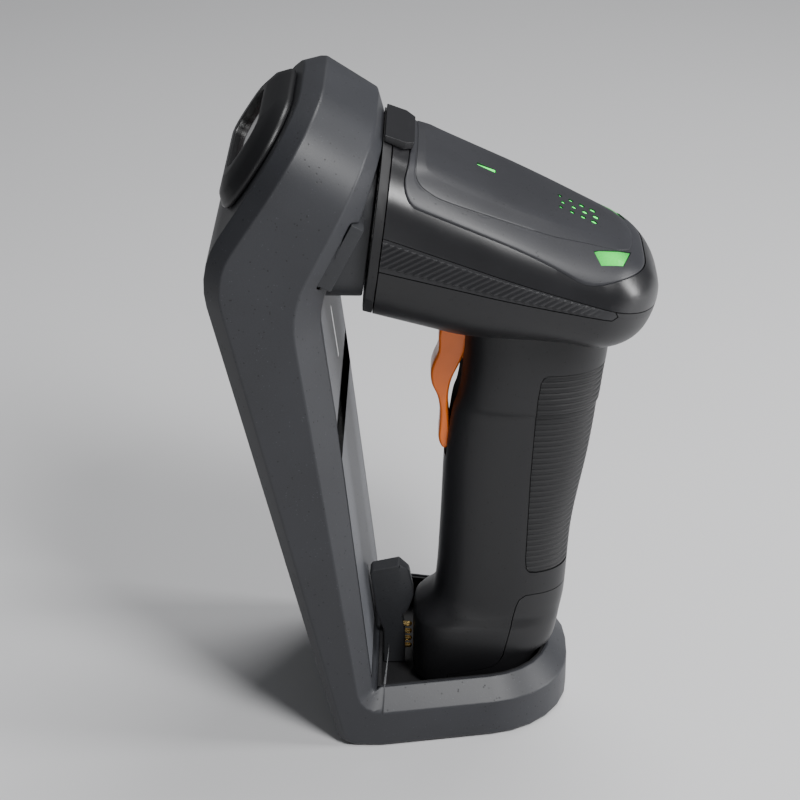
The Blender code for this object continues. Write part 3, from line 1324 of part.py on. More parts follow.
def make_finishes():
    return {
        "shell": material("charcoal_shell", (0.085, 0.088, 0.095), 0.55),
        "pale": material("light_grey", (0.22, 0.225, 0.235), 0.5),
        "mid": material("mid_grey", (0.06, 0.062, 0.066), 0.5),
        "dark": material("dark_cover", (0.02, 0.021, 0.023), 0.4),
        "smooth": material("smooth_black", (0.018, 0.018, 0.02), 0.35),
        "housing": material("housing_black", (0.025, 0.025, 0.027), 0.5),
        "black": material("black_plastic", (0.012, 0.012, 0.013), 0.55),
        "rubber": material("rubber", (0.014, 0.014, 0.015), 0.8),
        "window": material("smoked_window", (0.03, 0.004, 0.005), 0.08),
        "orange": material("orange", (0.85, 0.22, 0.02), 0.35),
        "green": material("green_light", (0.05, 0.75, 0.12), 0.3),
        "lens": material("clear_lens", (0.3, 0.32, 0.35), 0.2),
        "steel": material("steel", (0.55, 0.56, 0.58), 0.3, 1.0),
        "gold": material("gold_plate", (0.85, 0.62, 0.25), 0.25, 1.0),
        "board": material("circuit_board", (0.01, 0.12, 0.05), 0.5),
        "cell": material("cell_sleeve", (0.03, 0.12, 0.35), 0.4),
        "glass": material("lens_barrel", (0.02, 0.02, 0.025), 0.1),
    }


def main():
    clear_scene()
    finishes = make_finishes()
    nose = nose_frame_empty()
    build_cradle(nose, finishes)
    build_scanner(nose, finishes)
    bpy.context.view_layer.update()


if __name__ == "__main__":
    main()
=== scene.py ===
"""The finished look of a pistol-grip code scanner that stands in its charging cradle.

Metres, +Z up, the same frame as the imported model. The scanner's nose looks along -Y, its left side is +X.
"""

import json
import math

import bmesh
import bpy
import numpy as np
from mathutils import Matrix, Vector

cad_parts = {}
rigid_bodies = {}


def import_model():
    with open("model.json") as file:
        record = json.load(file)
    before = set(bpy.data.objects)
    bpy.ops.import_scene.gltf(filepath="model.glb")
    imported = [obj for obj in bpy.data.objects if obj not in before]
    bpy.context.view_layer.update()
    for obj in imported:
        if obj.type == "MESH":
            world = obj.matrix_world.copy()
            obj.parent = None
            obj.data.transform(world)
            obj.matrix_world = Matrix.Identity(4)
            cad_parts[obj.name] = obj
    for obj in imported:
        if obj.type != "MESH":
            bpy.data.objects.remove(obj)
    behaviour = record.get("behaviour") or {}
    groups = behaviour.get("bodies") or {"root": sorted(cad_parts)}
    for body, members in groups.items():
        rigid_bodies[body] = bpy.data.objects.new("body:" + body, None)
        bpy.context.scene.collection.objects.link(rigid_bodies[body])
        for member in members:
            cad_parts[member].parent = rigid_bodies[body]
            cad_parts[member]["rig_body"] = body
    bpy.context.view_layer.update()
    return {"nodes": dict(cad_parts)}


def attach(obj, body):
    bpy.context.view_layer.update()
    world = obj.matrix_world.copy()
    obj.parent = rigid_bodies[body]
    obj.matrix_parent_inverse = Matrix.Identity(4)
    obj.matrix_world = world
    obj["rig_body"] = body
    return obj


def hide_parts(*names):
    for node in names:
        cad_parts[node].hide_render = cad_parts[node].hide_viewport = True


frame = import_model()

MM = 0.001
EDGE = 0.35 * MM
SMOOTH_ANGLE = math.radians(34.0)


# ---------------------------------------------------------------- finishes


class Value:
    """A shader socket that can stand in a sum."""

    def __init__(self, finish, socket):
        self.finish = finish
        self.socket = socket

    def maths(self, operation, *values):
        settings = {"operation": operation}
        return self.finish.node("ShaderNodeMath", settings, dict(enumerate(values)))

    def __add__(self, other):
        return self.maths("ADD", self, other)

    def __radd__(self, other):
        return self.maths("ADD", other, self)

    def __sub__(self, other):
        return self.maths("SUBTRACT", self, other)

    def __rsub__(self, other):
        return self.maths("SUBTRACT", other, self)

    def __mul__(self, other):
        return self.maths("MULTIPLY", self, other)

    def __rmul__(self, other):
        return self.maths("MULTIPLY", other, self)

    def ramp(self, low, high):
        """0 at low and 1 at high, smoothly."""
        settings = {"interpolation_type": "SMOOTHSTEP"}
        inputs = {"Value": self, "From Min": low, "From Max": high}
        return self.finish.node("ShaderNodeMapRange", settings, inputs)


class Finish:
    """A node material. Constants are set on the shader's own sockets, what varies is fed to them."""

    def __init__(self, name, colour, roughness, metallic=0.0, **constants):
        self.material = bpy.data.materials.new(name)
        self.material.use_nodes = True
        self.tree = self.material.node_tree
        self.shader = self.tree.nodes["Principled BSDF"]
        self.material.diffuse_color = (*colour, 1.0)
        self.set("Base Color", (*colour, 1.0))
        self.set("Roughness", roughness)
        self.set("Metallic", metallic)
        for socket, value in constants.items():
            self.set(socket.replace("_", " "), value)
        self.place = self.node("ShaderNodeTexCoord", {}, {}, "Object")

    def set(self, socket, value):
        self.shader.inputs[socket].default_value = value

    def node(self, kind, settings, inputs, output=0):
        made = self.tree.nodes.new(kind)
        for key, value in settings.items():
            if key == "stops":
                self.set_stops(made, value)
            else:
                setattr(made, key, value)
        for key, value in inputs.items():
            if isinstance(value, Value):
                self.tree.links.new(value.socket, made.inputs[key])
            else:
                made.inputs[key].default_value = value
        return Value(self, made.outputs[output])

    def set_stops(self, ramp, stops):
        while len(ramp.color_ramp.elements) < len(stops):
            ramp.color_ramp.elements.new(0.5)
        for element, (position, colour) in zip(ramp.color_ramp.elements, stops):
            element.position = position
            element.color = (*colour, 1.0)

    def feed(self, **links):
        for socket, value in links.items():
            self.tree.links.new(value.socket, self.shader.inputs[socket.replace("_", " ")])

    def noise(self, scale, detail=2.0, roughness=0.5, vector=None):
        inputs = {"Vector": vector or self.place, "Scale": scale, "Detail": detail, "Roughness": roughness}
        return self.node("ShaderNodeTexNoise", {}, inputs)

    def cells(self, scale, feature="F1", vector=None):
        inputs = {"Vector": vector or self.place, "Scale": scale}
        return self.node("ShaderNodeTexVoronoi", {"feature": feature}, inputs)

    def mix(self, factor, first, second):
        settings = {"data_type": "RGBA"}
        first = first if isinstance(first, Value) else (*first, 1.0)
        second = second if isinstance(second, Value) else (*second, 1.0)
        return self.node("ShaderNodeMix", settings, {"Factor": factor, 6: first, 7: second}, 2)

    def bump(self, height, strength, distance):
        inputs = {"Strength": strength, "Distance": distance, "Height": height}
        self.feed(Normal=self.node("ShaderNodeBump", {}, inputs))

    def axis(self, index):
        return self.node("ShaderNodeSeparateXYZ", {}, {"Vector": self.place}, index)

    def stretched(self, scale, turn=(0.0, 0.0, 0.0)):
        inputs = {"Vector": self.place, "Scale": scale, "Rotation": turn}
        return self.node("ShaderNodeMapping", {}, inputs)


def tint(colour, factor):
    return tuple(min(channel * factor, 1.0) for channel in colour)


def textured_plastic(name, colour, roughness, grain=1.0, painted_glint_share=0.5):
    """Spark-eroded moulded plastic: a fine grain, sparse pits with painted shade in them, bright flecks that
    are painted glints, and broad uneven gloss.
    """
    made = Finish(name, colour, roughness, **{"Specular_IOR_Level": 0.45})
    fine = made.noise(2600.0, 3.0, 0.6)
    coarse = made.noise(900.0, 2.0, 0.5)
    broad = made.noise(28.0, 3.0, 0.5)
    spots = made.cells(620.0)
    pit_and_painted_shade = 1 - spots.ramp(0.10, 0.24)
    chosen = made.noise(260.0, 1.0, 0.5).ramp(0.52, 0.60)
    pit_and_painted_shade = pit_and_painted_shade * chosen
    # bright flecks that are painted glints of the grain
    painted_glint = (1 - made.cells(900.0).ramp(0.06, 0.2)) * made.noise(340.0, 1.0).ramp(0.55, 0.62)
    shade = made.mix(broad.ramp(0.3, 0.7), tint(colour, 0.90), tint(colour, 1.12))
    shade = made.mix(fine.ramp(0.35, 0.7) * 0.35, shade, tint(colour, 1.5))
    # painted shade: the pits are darkened in the colour, on top of their real dip in the bump
    shade = made.mix(pit_and_painted_shade * 0.75, shade, tint(colour, 0.25))
    # painted glints: the flecks are lightened in the colour
    shade = made.mix(painted_glint * painted_glint_share, shade, tint(colour, 3.2))
    made.feed(Base_Color=shade)
    made.feed(Roughness=roughness - 0.05 + 0.1 * broad + 0.06 * fine + 0.1 * pit_and_painted_shade)
    made.bump(fine * 0.55 + coarse * 0.6 - pit_and_painted_shade * 1.3, 0.32 * grain, 0.05 * MM)
    return made


def satin_plastic(name, colour, roughness, coat=0.0):
    """Fine satin moulding: hardly any grain, with slow changes of gloss and faint handling marks."""
    made = Finish(name, colour, roughness, **{"Specular_IOR_Level": 0.5, "Coat_Roughness": 0.2})
    made.set("Coat Weight", coat)
    fine = made.noise(3800.0, 2.0, 0.5)
    broad = made.noise(34.0, 3.0, 0.55)
    marks = made.noise(1.0, 3.0, 0.6, made.stretched((60.0, 700.0, 260.0))).ramp(0.62, 0.74)
    shade = made.mix(broad.ramp(0.3, 0.7), tint(colour, 0.9), tint(colour, 1.12))
    shade = made.mix(marks * 0.12, shade, tint(colour, 2.2))
    made.feed(Base_Color=shade)
    made.feed(Roughness=roughness - 0.06 + 0.12 * broad + 0.05 * marks)
    made.bump(fine, 0.12, 0.03 * MM)
    return made


def soft_rubber(name, colour, roughness=0.78):
    made = Finish(name, colour, roughness, **{"Specular_IOR_Level": 0.35, "Sheen_Weight": 0.08})
    made.set("Sheen Roughness", 0.5)
    fine = made.noise(3000.0, 3.0, 0.65)
    broad = made.noise(45.0, 3.0, 0.5)
    dust = made.noise(520.0, 3.0, 0.6).ramp(0.6, 0.75)
    shade = made.mix(broad, tint(colour, 0.8), tint(colour, 1.25))
    shade = made.mix(dust * 0.2, shade, tint(colour, 2.6))
    made.feed(Base_Color=shade, Roughness=roughness - 0.05 + 0.1 * broad)
    made.bump(fine, 0.3, 0.04 * MM)
    return made


def smoked_glass(name, colour):
    made = Finish(name, colour, 0.07, **{"Specular_IOR_Level": 0.6, "Coat_Weight": 0.5})
    made.set("Coat Roughness", 0.03)
    haze = made.noise(60.0, 4.0, 0.6)
    smear = made.noise(1.0, 3.0, 0.55, made.stretched((90.0, 90.0, 400.0))).ramp(0.5, 0.8)
    made.feed(Base_Color=made.mix(haze, tint(colour, 0.7), tint(colour, 1.4)))
    made.feed(Roughness=0.05 + 0.05 * haze + 0.08 * smear)
    return made


def lit_lens(name, dark, lit, centre, reach, power):
    """A light guide that is brightest in the middle of its lamp."""
    made = Finish(name, dark, 0.28, **{"Coat_Weight": 0.4, "Coat_Roughness": 0.1})
    offset = made.node("ShaderNodeVectorMath", {"operation": "DISTANCE"}, {0: made.place, 1: centre}, 1)
    glow = 1 - offset.ramp(0.0, reach)
    grain = made.noise(1400.0, 2.0)
    made.feed(Base_Color=made.mix(grain, dark, tint(dark, 1.3)))
    made.feed(Emission_Color=made.mix(glow, tint(lit, 0.22), lit))
    made.set("Emission Strength", power)
    made.feed(Roughness=0.2 + 0.15 * grain)
    return made


def gauge_light(name, start, end):
    """Pips that fade from a pale light to green towards the tail."""
    made = Finish(name, (0.3, 0.4, 0.3), 0.3, **{"Coat_Weight": 0.3})
    along = made.axis(1).ramp(start, end)
    grain = made.noise(1500.0, 2.0)
    stops = [(0.0, (0.62, 0.70, 0.62)), (0.35, (0.35, 0.75, 0.40)), (1.0, (0.02, 0.75, 0.09))]
    glow = made.node("ShaderNodeValToRGB", {"stops": stops}, {"Fac": along})
    made.feed(Base_Color=glow, Emission_Color=glow, Roughness=0.22 + 0.15 * grain)
    made.set("Emission Strength", 1.9)
    return made


def brushed_metal(name, colour, roughness, stretch=(3000.0, 200.0, 200.0)):
    made = Finish(name, colour, roughness, 1.0)
    lines = made.noise(1.0, 3.0, 0.6, made.stretched(stretch))
    broad = made.noise(90.0, 2.0)
    made.feed(Base_Color=made.mix(broad, tint(colour, 0.85), tint(colour, 1.08)))
    made.feed(Roughness=roughness - 0.06 + 0.16 * lines)
    made.bump(lines, 0.15, 0.02 * MM)
    return made


def circuit_board(name):
    """Green solder mask over copper tracks, with tinned pads."""
    mask, track, tin = (0.008, 0.10, 0.035), (0.02, 0.17, 0.06), (0.62, 0.63, 0.62)
    made = Finish(name, mask, 0.35, **{"Coat_Weight": 0.3})
    lanes = made.cells(420.0, "DISTANCE_TO_EDGE").ramp(0.03, 0.08)
    pads = 1 - made.cells(300.0).ramp(0.10, 0.14)
    pads = pads * made.noise(150.0, 1.0).ramp(0.5, 0.56)
    shade = made.mix(lanes, track, mask)
    made.feed(Base_Color=made.mix(pads, shade, tin), Metallic=pads * 0.9, Roughness=0.36 - 0.1 * pads)
    made.bump(pads + (1 - lanes) * 0.5, 0.25, 0.04 * MM)
    return made


def printed_sleeve(name, colour):
    made = Finish(name, colour, 0.3, **{"Coat_Weight": 0.4})
    folds = made.noise(1.0, 2.0, 0.5, made.stretched((500.0, 500.0, 60.0)))
    made.feed(Base_Color=made.mix(folds.ramp(0.4, 0.8), colour, tint(colour, 1.4)))
    made.feed(Roughness=0.26 + 0.14 * folds)
    made.bump(folds, 0.2, 0.05 * MM)
    return made


LED_PLACE = (0.0, 0.013, 0.1937)
STATUS_PLACE = (0.021, 0.0535, 0.173)

SHELL = textured_plastic("charcoal_shell", (0.024, 0.025, 0.029), 0.43, 1.1, 0.7)
TOP = textured_plastic("scanner_top_shell", (0.020, 0.0205, 0.024), 0.40, 1.0, 0.6)
HOUSING = textured_plastic("grip_housing", (0.0085, 0.0085, 0.0095), 0.38, 1.0, 0.4)
PALE = textured_plastic("inner_cover_grey", (0.085, 0.088, 0.098), 0.5, 0.8, 0.3)
MID = textured_plastic("block_grey", (0.024, 0.025, 0.028), 0.44, 0.8, 0.4)
DARK = satin_plastic("dark_cover", (0.005, 0.005, 0.006), 0.42)
SATIN = satin_plastic("bezel_satin", (0.010, 0.010, 0.0115), 0.32)
DOOR = satin_plastic("door_satin", (0.010, 0.010, 0.011), 0.38)
BLACK = textured_plastic("black_plastic", (0.010, 0.010, 0.011), 0.55, 0.6, 0.2)
RUBBER = soft_rubber("soft_rubber", (0.009, 0.009, 0.010), 0.62)
RIBBED = soft_rubber("ribbed_rubber", (0.016, 0.016, 0.018), 0.46)
GLASS = smoked_glass("smoked_window", (0.014, 0.003, 0.004))
LENS = smoked_glass("lens_glass", (0.03, 0.035, 0.05))
GUIDE = smoked_glass("clear_guide", (0.16, 0.17, 0.19))
BAR_LIGHT = lit_lens("bar_light", (0.01, 0.30, 0.04), (0.05, 1.0, 0.12), LED_PLACE, 9.0 * MM, 2.2)
PIP_LIGHT = gauge_light("gauge_light", 0.018, 0.030)
STATUS_LIGHT = lit_lens("status_light", (0.01, 0.20, 0.03), (0.06, 1.0, 0.10), STATUS_PLACE, 11.0 * MM, 1.3)
ORANGE = satin_plastic("trigger_orange", (0.80, 0.155, 0.006), 0.34, 0.25)
STEEL = brushed_metal("steel", (0.55, 0.56, 0.58), 0.32)
GOLD = brushed_metal("gold_plate", (0.85, 0.60, 0.24), 0.24)
BOARD = circuit_board("circuit_board")
SLEEVE = printed_sleeve("cell_sleeve", (0.02, 0.09, 0.30))


# ---------------------------------------------------------------- tools


def only(obj):
    """Selects one object and makes it active."""
    bpy.ops.object.select_all(action="DESELECT")
    obj.select_set(True)
    bpy.context.view_layer.objects.active = obj


def apply_all(obj):
    only(obj)
    for modifier in list(obj.modifiers):
        bpy.ops.object.modifier_apply(modifier=modifier.name)


def dressed(obj, finish, body, *nodes):
    """Gives a piece its finish and its body, and hides the CAD nodes it stands for."""
    obj.data.materials.clear()
    obj.data.materials.append(finish.material)
    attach(obj, body)
    if nodes:
        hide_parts(*nodes)
    return obj


BODY_OF = {name: node["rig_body"] for name, node in frame["nodes"].items()}


def merged_copy(node, name):
    """A copy of a CAD node whose loose triangles are merged into flat faces."""
    source = frame["nodes"][node]
    mesh = source.data.copy()
    mesh.name = name
    obj = bpy.data.objects.new(name, mesh)
    bpy.context.scene.collection.objects.link(obj)
    only(obj)
    bpy.ops.mesh.customdata_custom_splitnormals_clear()
    bpy.ops.object.mode_set(mode="EDIT")
    bpy.ops.mesh.select_all(action="SELECT")
    bpy.ops.mesh.remove_doubles(threshold=0.002 * MM)
    bpy.ops.mesh.dissolve_limited(angle_limit=math.radians(0.4))
    bpy.ops.object.mode_set(mode="OBJECT")
    return obj


def eased(obj, edge=EDGE, angle=38.0, segments=2):
    """Rounds a piece's sharp edges and shades its curves smooth."""
    if edge:
        bevel = obj.modifiers.new("edges", "BEVEL")
        bevel.width = edge
        bevel.segments = segments
        bevel.limit_method = "ANGLE"
        bevel.angle_limit = math.radians(angle)
        bevel.use_clamp_overlap = False
        bevel.miter_outer = "MITER_ARC"
        apply_all(obj)
    only(obj)
    bpy.ops.object.shade_smooth_by_angle(angle=SMOOTH_ANGLE)
    normals = obj.modifiers.new("normals", "WEIGHTED_NORMAL")
    normals.keep_sharp = True
    apply_all(obj)
    return obj


def finished(node, finish, edge=EDGE, angle=38.0, segments=2):
    """A CAD node's copy with eased edges, which stands for it."""
    obj = eased(merged_copy(node, f"{node}_moulding"), edge, angle, segments)
    return dressed(obj, finish, BODY_OF[node], node)


# ---------------------------------------------------------------- smooth forms

BARREL = Matrix.Translation((0, 0, 160.0 * MM)) @ Matrix.Rotation(math.radians(-20.0), 4, "X")
NOSE = Matrix.Translation((0, -23.6 * MM, 178.0 * MM)) @ Matrix.Rotation(math.radians(-7.0), 4, "X")
WORLD = Matrix.Identity(4)
FAR = 90.0 * MM
GAP = 0.3 * MM
WALL = 2.4 * MM
SKIN = 1.4 * MM
SIDES = 96

SECTION = (
    (0.0, 1.0), (0.36, 0.985), (0.63, 0.90), (0.875, 0.60), (0.985, 0.20), (1.0, 0.0),
    (0.98, -0.34), (0.88, -0.64), (0.66, -0.87), (0.36, -0.98), (0.0, -1.0),
)
BARREL_FRONT, BARREL_TAIL, TAIL_ROUND = -34.0 * MM, 66.5 * MM, 20.0 * MM
MIDDLE = 13.0 * MM
BARREL_HALF_WIDTH = 34.8 * MM
BARREL_NARROWING = 6.0 * MM
NARROWING_START, NARROWING_LENGTH, NARROWING_POWER = 10.0 * MM, 56.5 * MM, 1.6
ROOF_FRONT_HEIGHT, ROOF_SLOPE = 38.6 * MM, 0.095
BELLY_FRONT_HEIGHT, BELLY_SLOPE = -19.4 * MM, 0.10
BELLY_RISE, BELLY_RISE_SLOPE = 30.0 * MM, 0.22
BELLY_RISE_START, BELLY_RISE_LENGTH = 4.0 * MM, 42.0 * MM
TAIL_POWER = 0.8
BEZEL_LOW = 16.4 * MM
ROOF_LOW = 19.0 * MM

GRIP_STATIONS = (
    (7.4, -9.4, 27.4, 17.0, 3.4), (9.0, -10.4, 28.5, 18.2, 3.4), (14.0, -10.4, 31.2, 19.3, 3.4),
    (20.0, -10.4, 34.5, 19.5, 3.2), (23.4, -10.4, 38.4, 19.5, 3.2), (31.0, -10.0, 40.2, 19.2, 3.0),
    (33.4, -8.0, 40.6, 18.6, 2.9), (35.0, -6.2, 41.0, 17.4, 2.8), (40.0, -2.8, 41.8, 17.1, 2.7),
    (64.0, -1.3, 43.2, 17.2, 2.6), (97.0, 0.0, 48.4, 16.8, 2.6), (108.0, 1.2, 49.8, 16.6, 2.6),
    (113.4, 2.2, 50.4, 16.9, 2.6), (115.6, 3.2, 51.0, 18.5, 2.6), (124.0, 4.6, 52.0, 18.7, 2.6),
    (134.0, 5.6, 53.2, 18.4, 2.6), (146.0, 6.0, 53.6, 17.6, 2.6),
)
DOOR_OUTLINE = (
    (2.0, 0.0), (2.0, 12.8), (8.2, 14.2), (14.0, 15.6), (17.0, 16.6), (19.4, 18.6), (20.8, 21.4),
    (23.0, 31.2), (25.0, 40.0), (26.0, 42.6), (28.1, 44.2), (31.0, 44.4), (60.0, 44.4), (60.0, 0.0),
)
PANEL_OUTLINE = (
    (33.4, 129.0), (31.9, 128.4), (31.0, 126.6), (30.1, 120.0), (28.6, 90.0), (27.8, 59.0), (28.1, 55.2),
    (29.2, 53.7), (31.0, 53.4), (60.0, 53.4), (60.0, 129.0),
)
TRIGGER_SLOT = (
    (-9.0, 92.6), (9.6, 92.6), (9.6, 134.0), (14.6, 142.0), (15.0, 154.0), (5.4, 154.0), (5.4, 148.4),
    (1.8, 144.8), (-3.0, 139.6), (-3.0, 134.5), (-9.0, 130.0),
)
TRIGGER_SLOT_HALF = 6.2 * MM


def smooth_loop(points, steps):
    """A closed curve through the points, with a number of steps between each two."""
    points = np.array(points, float)
    found = []
    for i in range(len(points)):
        a, b, c, d = (points[(i + k) % len(points)] for k in (-1, 0, 1, 2))
        for step in range(steps):
            t = step / steps
            square, cube = 2 * a - 5 * b + 4 * c - d, 3 * b - a - 3 * c + d
            found.append(0.5 * (2 * b + (c - a) * t + square * t ** 2 + cube * t ** 3))
    return np.array(found)


SECTION_LOOP = smooth_loop(list(SECTION) + [(-u, v) for u, v in reversed(SECTION[1:-1])], 5)
QUARTER = SECTION_LOOP[: 5 * 5 + 1]
HALF = SECTION_LOOP[: 5 * 10 + 1][::-1]


def ease(t):
    t = min(max(t, 0.0), 1.0)
    return t * t * (3 - 2 * t)


def barrel_measures(s, offset=0.0):
    """Half-width, roof and belly of the barrel at a station, and how far its tail has closed."""
    late = max(s - NARROWING_START, 0.0) / NARROWING_LENGTH
    half_width = BARREL_HALF_WIDTH - BARREL_NARROWING * late ** NARROWING_POWER - offset
    roof = ROOF_FRONT_HEIGHT - ROOF_SLOPE * (s - BARREL_FRONT) - offset
    rise = BELLY_RISE * ease((s - BELLY_RISE_START) / BELLY_RISE_LENGTH)
    belly = BELLY_FRONT_HEIGHT + BELLY_SLOPE * (s - BARREL_FRONT) + BELLY_RISE_SLOPE * rise + offset
    late = (s - BARREL_TAIL + TAIL_ROUND) / (TAIL_ROUND - offset)
    share = math.cos(math.asin(min(max(late, 0.0), 0.99995))) ** TAIL_POWER
    return half_width, roof, belly, share


def barrel_ring(s, offset):
    half_width, roof, belly, share = barrel_measures(s, offset)
    ring = []
    for u, v in SECTION_LOOP:
        reach = roof - MIDDLE if v > 0 else MIDDLE - belly
        ring.append((half_width * share * u, s, MIDDLE + reach * share * v))
    return ring


def roof_height(x, s):
    """Height of the barrel's upper surface over a point of its plan."""
    half_width, roof, _, share = barrel_measures(s)
    u = min(abs(x) / (half_width * share), 1.0)
    return MIDDLE + (roof - MIDDLE) * share * float(np.interp(u, QUARTER[:, 0], QUARTER[:, 1]))


def side_reach(s, h):
    """Distance of the barrel's side surface from its middle plane."""
    half_width, roof, belly, share = barrel_measures(s)
    reach = roof - MIDDLE if h > MIDDLE else MIDDLE - belly
    v = (h - MIDDLE) / (reach * share)
    return half_width * share * float(np.interp(v, HALF[:, 1], HALF[:, 0]))


def add_rings(bm, rings, matrix):
    loops = [[bm.verts.new(matrix @ Vector(point)) for point in ring] for ring in rings]
    count = len(loops[0])
    for lower, upper in zip(loops, loops[1:]):
        for i in range(count):
            j = (i + 1) % count
            bm.faces.new((lower[i], lower[j], upper[j], upper[i]))
    bm.faces.new(loops[0])
    bm.faces.new(reversed(loops[-1]))


def made_from(bm, name):
    bmesh.ops.remove_doubles(bm, verts=bm.verts, dist=0.001 * MM)
    bmesh.ops.recalc_face_normals(bm, faces=bm.faces)
    mesh = bpy.data.meshes.new(name)
    bm.to_mesh(mesh)
    bm.free()
    obj = bpy.data.objects.new(name, mesh)
    bpy.context.scene.collection.objects.link(obj)
    return obj


def lofted(name, rings, matrix=WORLD):
    bm = bmesh.new()
    add_rings(bm, rings, matrix)
    return made_from(bm, name)


def barrel_form(name, offset=0.0):
    start = BARREL_FRONT - (19.0 * MM if offset else 16.0 * MM)
    stations = [start + 2.5 * MM * i for i in range(40)]
    centre, radius = BARREL_TAIL - TAIL_ROUND, TAIL_ROUND - offset
    stations = [s for s in stations if s < centre - MM]
    stations += [centre + radius * math.sin(math.radians(degrees)) for degrees in range(0, 88, 4)]
    stations += [centre + radius * math.sin(math.radians(degrees)) for degrees in (88, 89.2)]
    return lofted(name, [barrel_ring(s, offset) for s in stations], BARREL)


def slopes(xs, ys):
    """Slopes of a curve through the points that never overshoots them."""
    steps = np.diff(ys) / np.diff(xs)
    found = [steps[0]]
    for before, after in zip(steps, steps[1:]):
        found.append(0.0 if before * after <= 0 else 2 * before * after / (before + after))
    return np.array(found + [steps[-1]])


GRIP_TABLE = np.array(GRIP_STATIONS, float)
GRIP_SLOPES = [slopes(GRIP_TABLE[:, 0], GRIP_TABLE[:, k]) for k in range(1, 5)]


def grip_measures(height):
    """Front, rear, half-width and squareness of the grip at a height, in millimetres."""
    z = GRIP_TABLE[:, 0]
    i = int(np.clip(np.searchsorted(z, height) - 1, 0, len(z) - 2))
    step = z[i + 1] - z[i]
    t = (height - z[i]) / step
    found = []
    for k in range(1, 5):
        a, b = GRIP_TABLE[i, k], GRIP_TABLE[i + 1, k]
        ma, mb = GRIP_SLOPES[k - 1][i] * step, GRIP_SLOPES[k - 1][i + 1] * step
        found.append(
            a * (2 * t ** 3 - 3 * t ** 2 + 1) + ma * (t ** 3 - 2 * t ** 2 + t)
            + b * (3 * t ** 2 - 2 * t ** 3) + mb * (t ** 3 - t ** 2)
        )
    return found


def grip_ring(height, offset, depth=0.0):
    """One cross-section of the grip; depth is how far a rib's valley lies below the surface."""
    front, rear, half_width, squareness = grip_measures(height)
    front, rear = front * MM + offset, rear * MM - offset
    middle, reach = (front + rear) / 2, (rear - front) / 2 - depth
    across = half_width * MM - offset - depth
    ring = []
    for k in range(SIDES):
        angle = 2 * math.pi * (k + 0.5) / SIDES
        c, s = math.cos(angle), math.sin(angle)
        x = across * math.copysign(abs(c) ** (2 / squareness), c)
        y = middle + reach * math.copysign(abs(s) ** (2 / squareness), s)
        ring.append((x, y, height * MM))
    return ring


def grip_form(name, offset=0.0, low=7.4, high=146.0, pitch=1.6, rib=0.0, rib_pitch=2.1):
    """The grip's form between two heights; rib is the depth of its grooves."""
    count = int(round((high - low) / pitch))
    rings = []
    for i in range(count + 1):
        height = low + (high - low) * i / count
        depth = rib * (0.5 - 0.5 * math.cos(2 * math.pi * height / rib_pitch)) ** 3
        rings.append(grip_ring(height, offset, depth))
    return lofted(name, rings)


def prism(name, outline, low, high, across, matrix=WORLD):
    """An outline extruded along one axis: across is 0 for x and 2 for z."""
    rings = []
    for level in (low, high):
        rings.append([(level, a, b) if across == 0 else (a, b, level) for a, b in outline])
    return lofted(name, rings, matrix)


def block(name, low, high, matrix=WORLD):
    outline = [(low[0], low[1]), (high[0], low[1]), (high[0], high[1]), (low[0], high[1])]
    return prism(name, outline, low[2], high[2], 2, matrix)


def cut(obj, other, operation="DIFFERENCE"):
    """Cuts, joins or intersects a piece with a shape, which is then gone."""
    modifier = obj.modifiers.new("cut", "BOOLEAN")
    modifier.operation = operation
    modifier.solver = "EXACT"
    modifier.object = other
    apply_all(obj)
    bpy.data.objects.remove(other, do_unlink=True)
    return obj


def grown(outline, distance):
    """A closed outline with each side moved outwards."""
    area = sum(a[0] * b[1] - b[0] * a[1] for a, b in zip(outline, outline[1:] + outline[:1]))
    sign = 1.0 if area > 0 else -1.0
    points = []
    for i, here in enumerate(outline):
        back = (Vector(here) - Vector(outline[i - 1])).normalized()
        ahead = (Vector(outline[(i + 1) % len(outline)]) - Vector(here)).normalized()
        normal_back, normal_ahead = Vector((back.y, -back.x)) * sign, Vector((ahead.y, -ahead.x)) * sign
        middle = (normal_back + normal_ahead).normalized()
        points.append(tuple(Vector(here) + middle * (distance / max(middle.dot(normal_ahead), 0.3))))
    return points


def in_mm(outline):
    """An outline written in millimetres, in metres."""
    return [(a * MM, b * MM) for a, b in outline]


def rounded_rectangle(half, low, high, front_radius, tail_radius, steps=12):
    """A plan outline, symmetrical about the middle plane, of (x, s) points."""
    points = []
    corners = (
        (half, high, tail_radius, 0.0), (-half, high, tail_radius, 90.0),
        (-half, low, front_radius, 180.0), (half, low, front_radius, 270.0),
    )
    for x, s, radius, start in corners:
        centre_x = x - math.copysign(radius, x)
        centre_s = s - radius if s == high else s + radius
        for step in range(steps + 1):
            angle = math.radians(start + 90.0 * step / steps)
            points.append((centre_x + radius * math.cos(angle), centre_s + radius * math.sin(angle)))
    return points


# ---------------------------------------------------------------- pieces

MOULDINGS = (
    ("cradle_shell", SHELL, 0.6 * MM),
    ("head_cover", DARK, 0.6 * MM),
    ("nose_tunnel", MID, 0.4 * MM),
    ("base_tray", BLACK, 0.2 * MM),
    ("contact_block", MID, 0.5 * MM),
    ("base_plate", DARK, 0.3 * MM),
    ("base_mat", RUBBER, 0.15 * MM),
    ("nose_frame", BLACK, 0.3 * MM),
    ("nose_tab", SATIN, 0.3 * MM),
)
for name, finish, edge in MOULDINGS:
    finished(name, finish, edge)

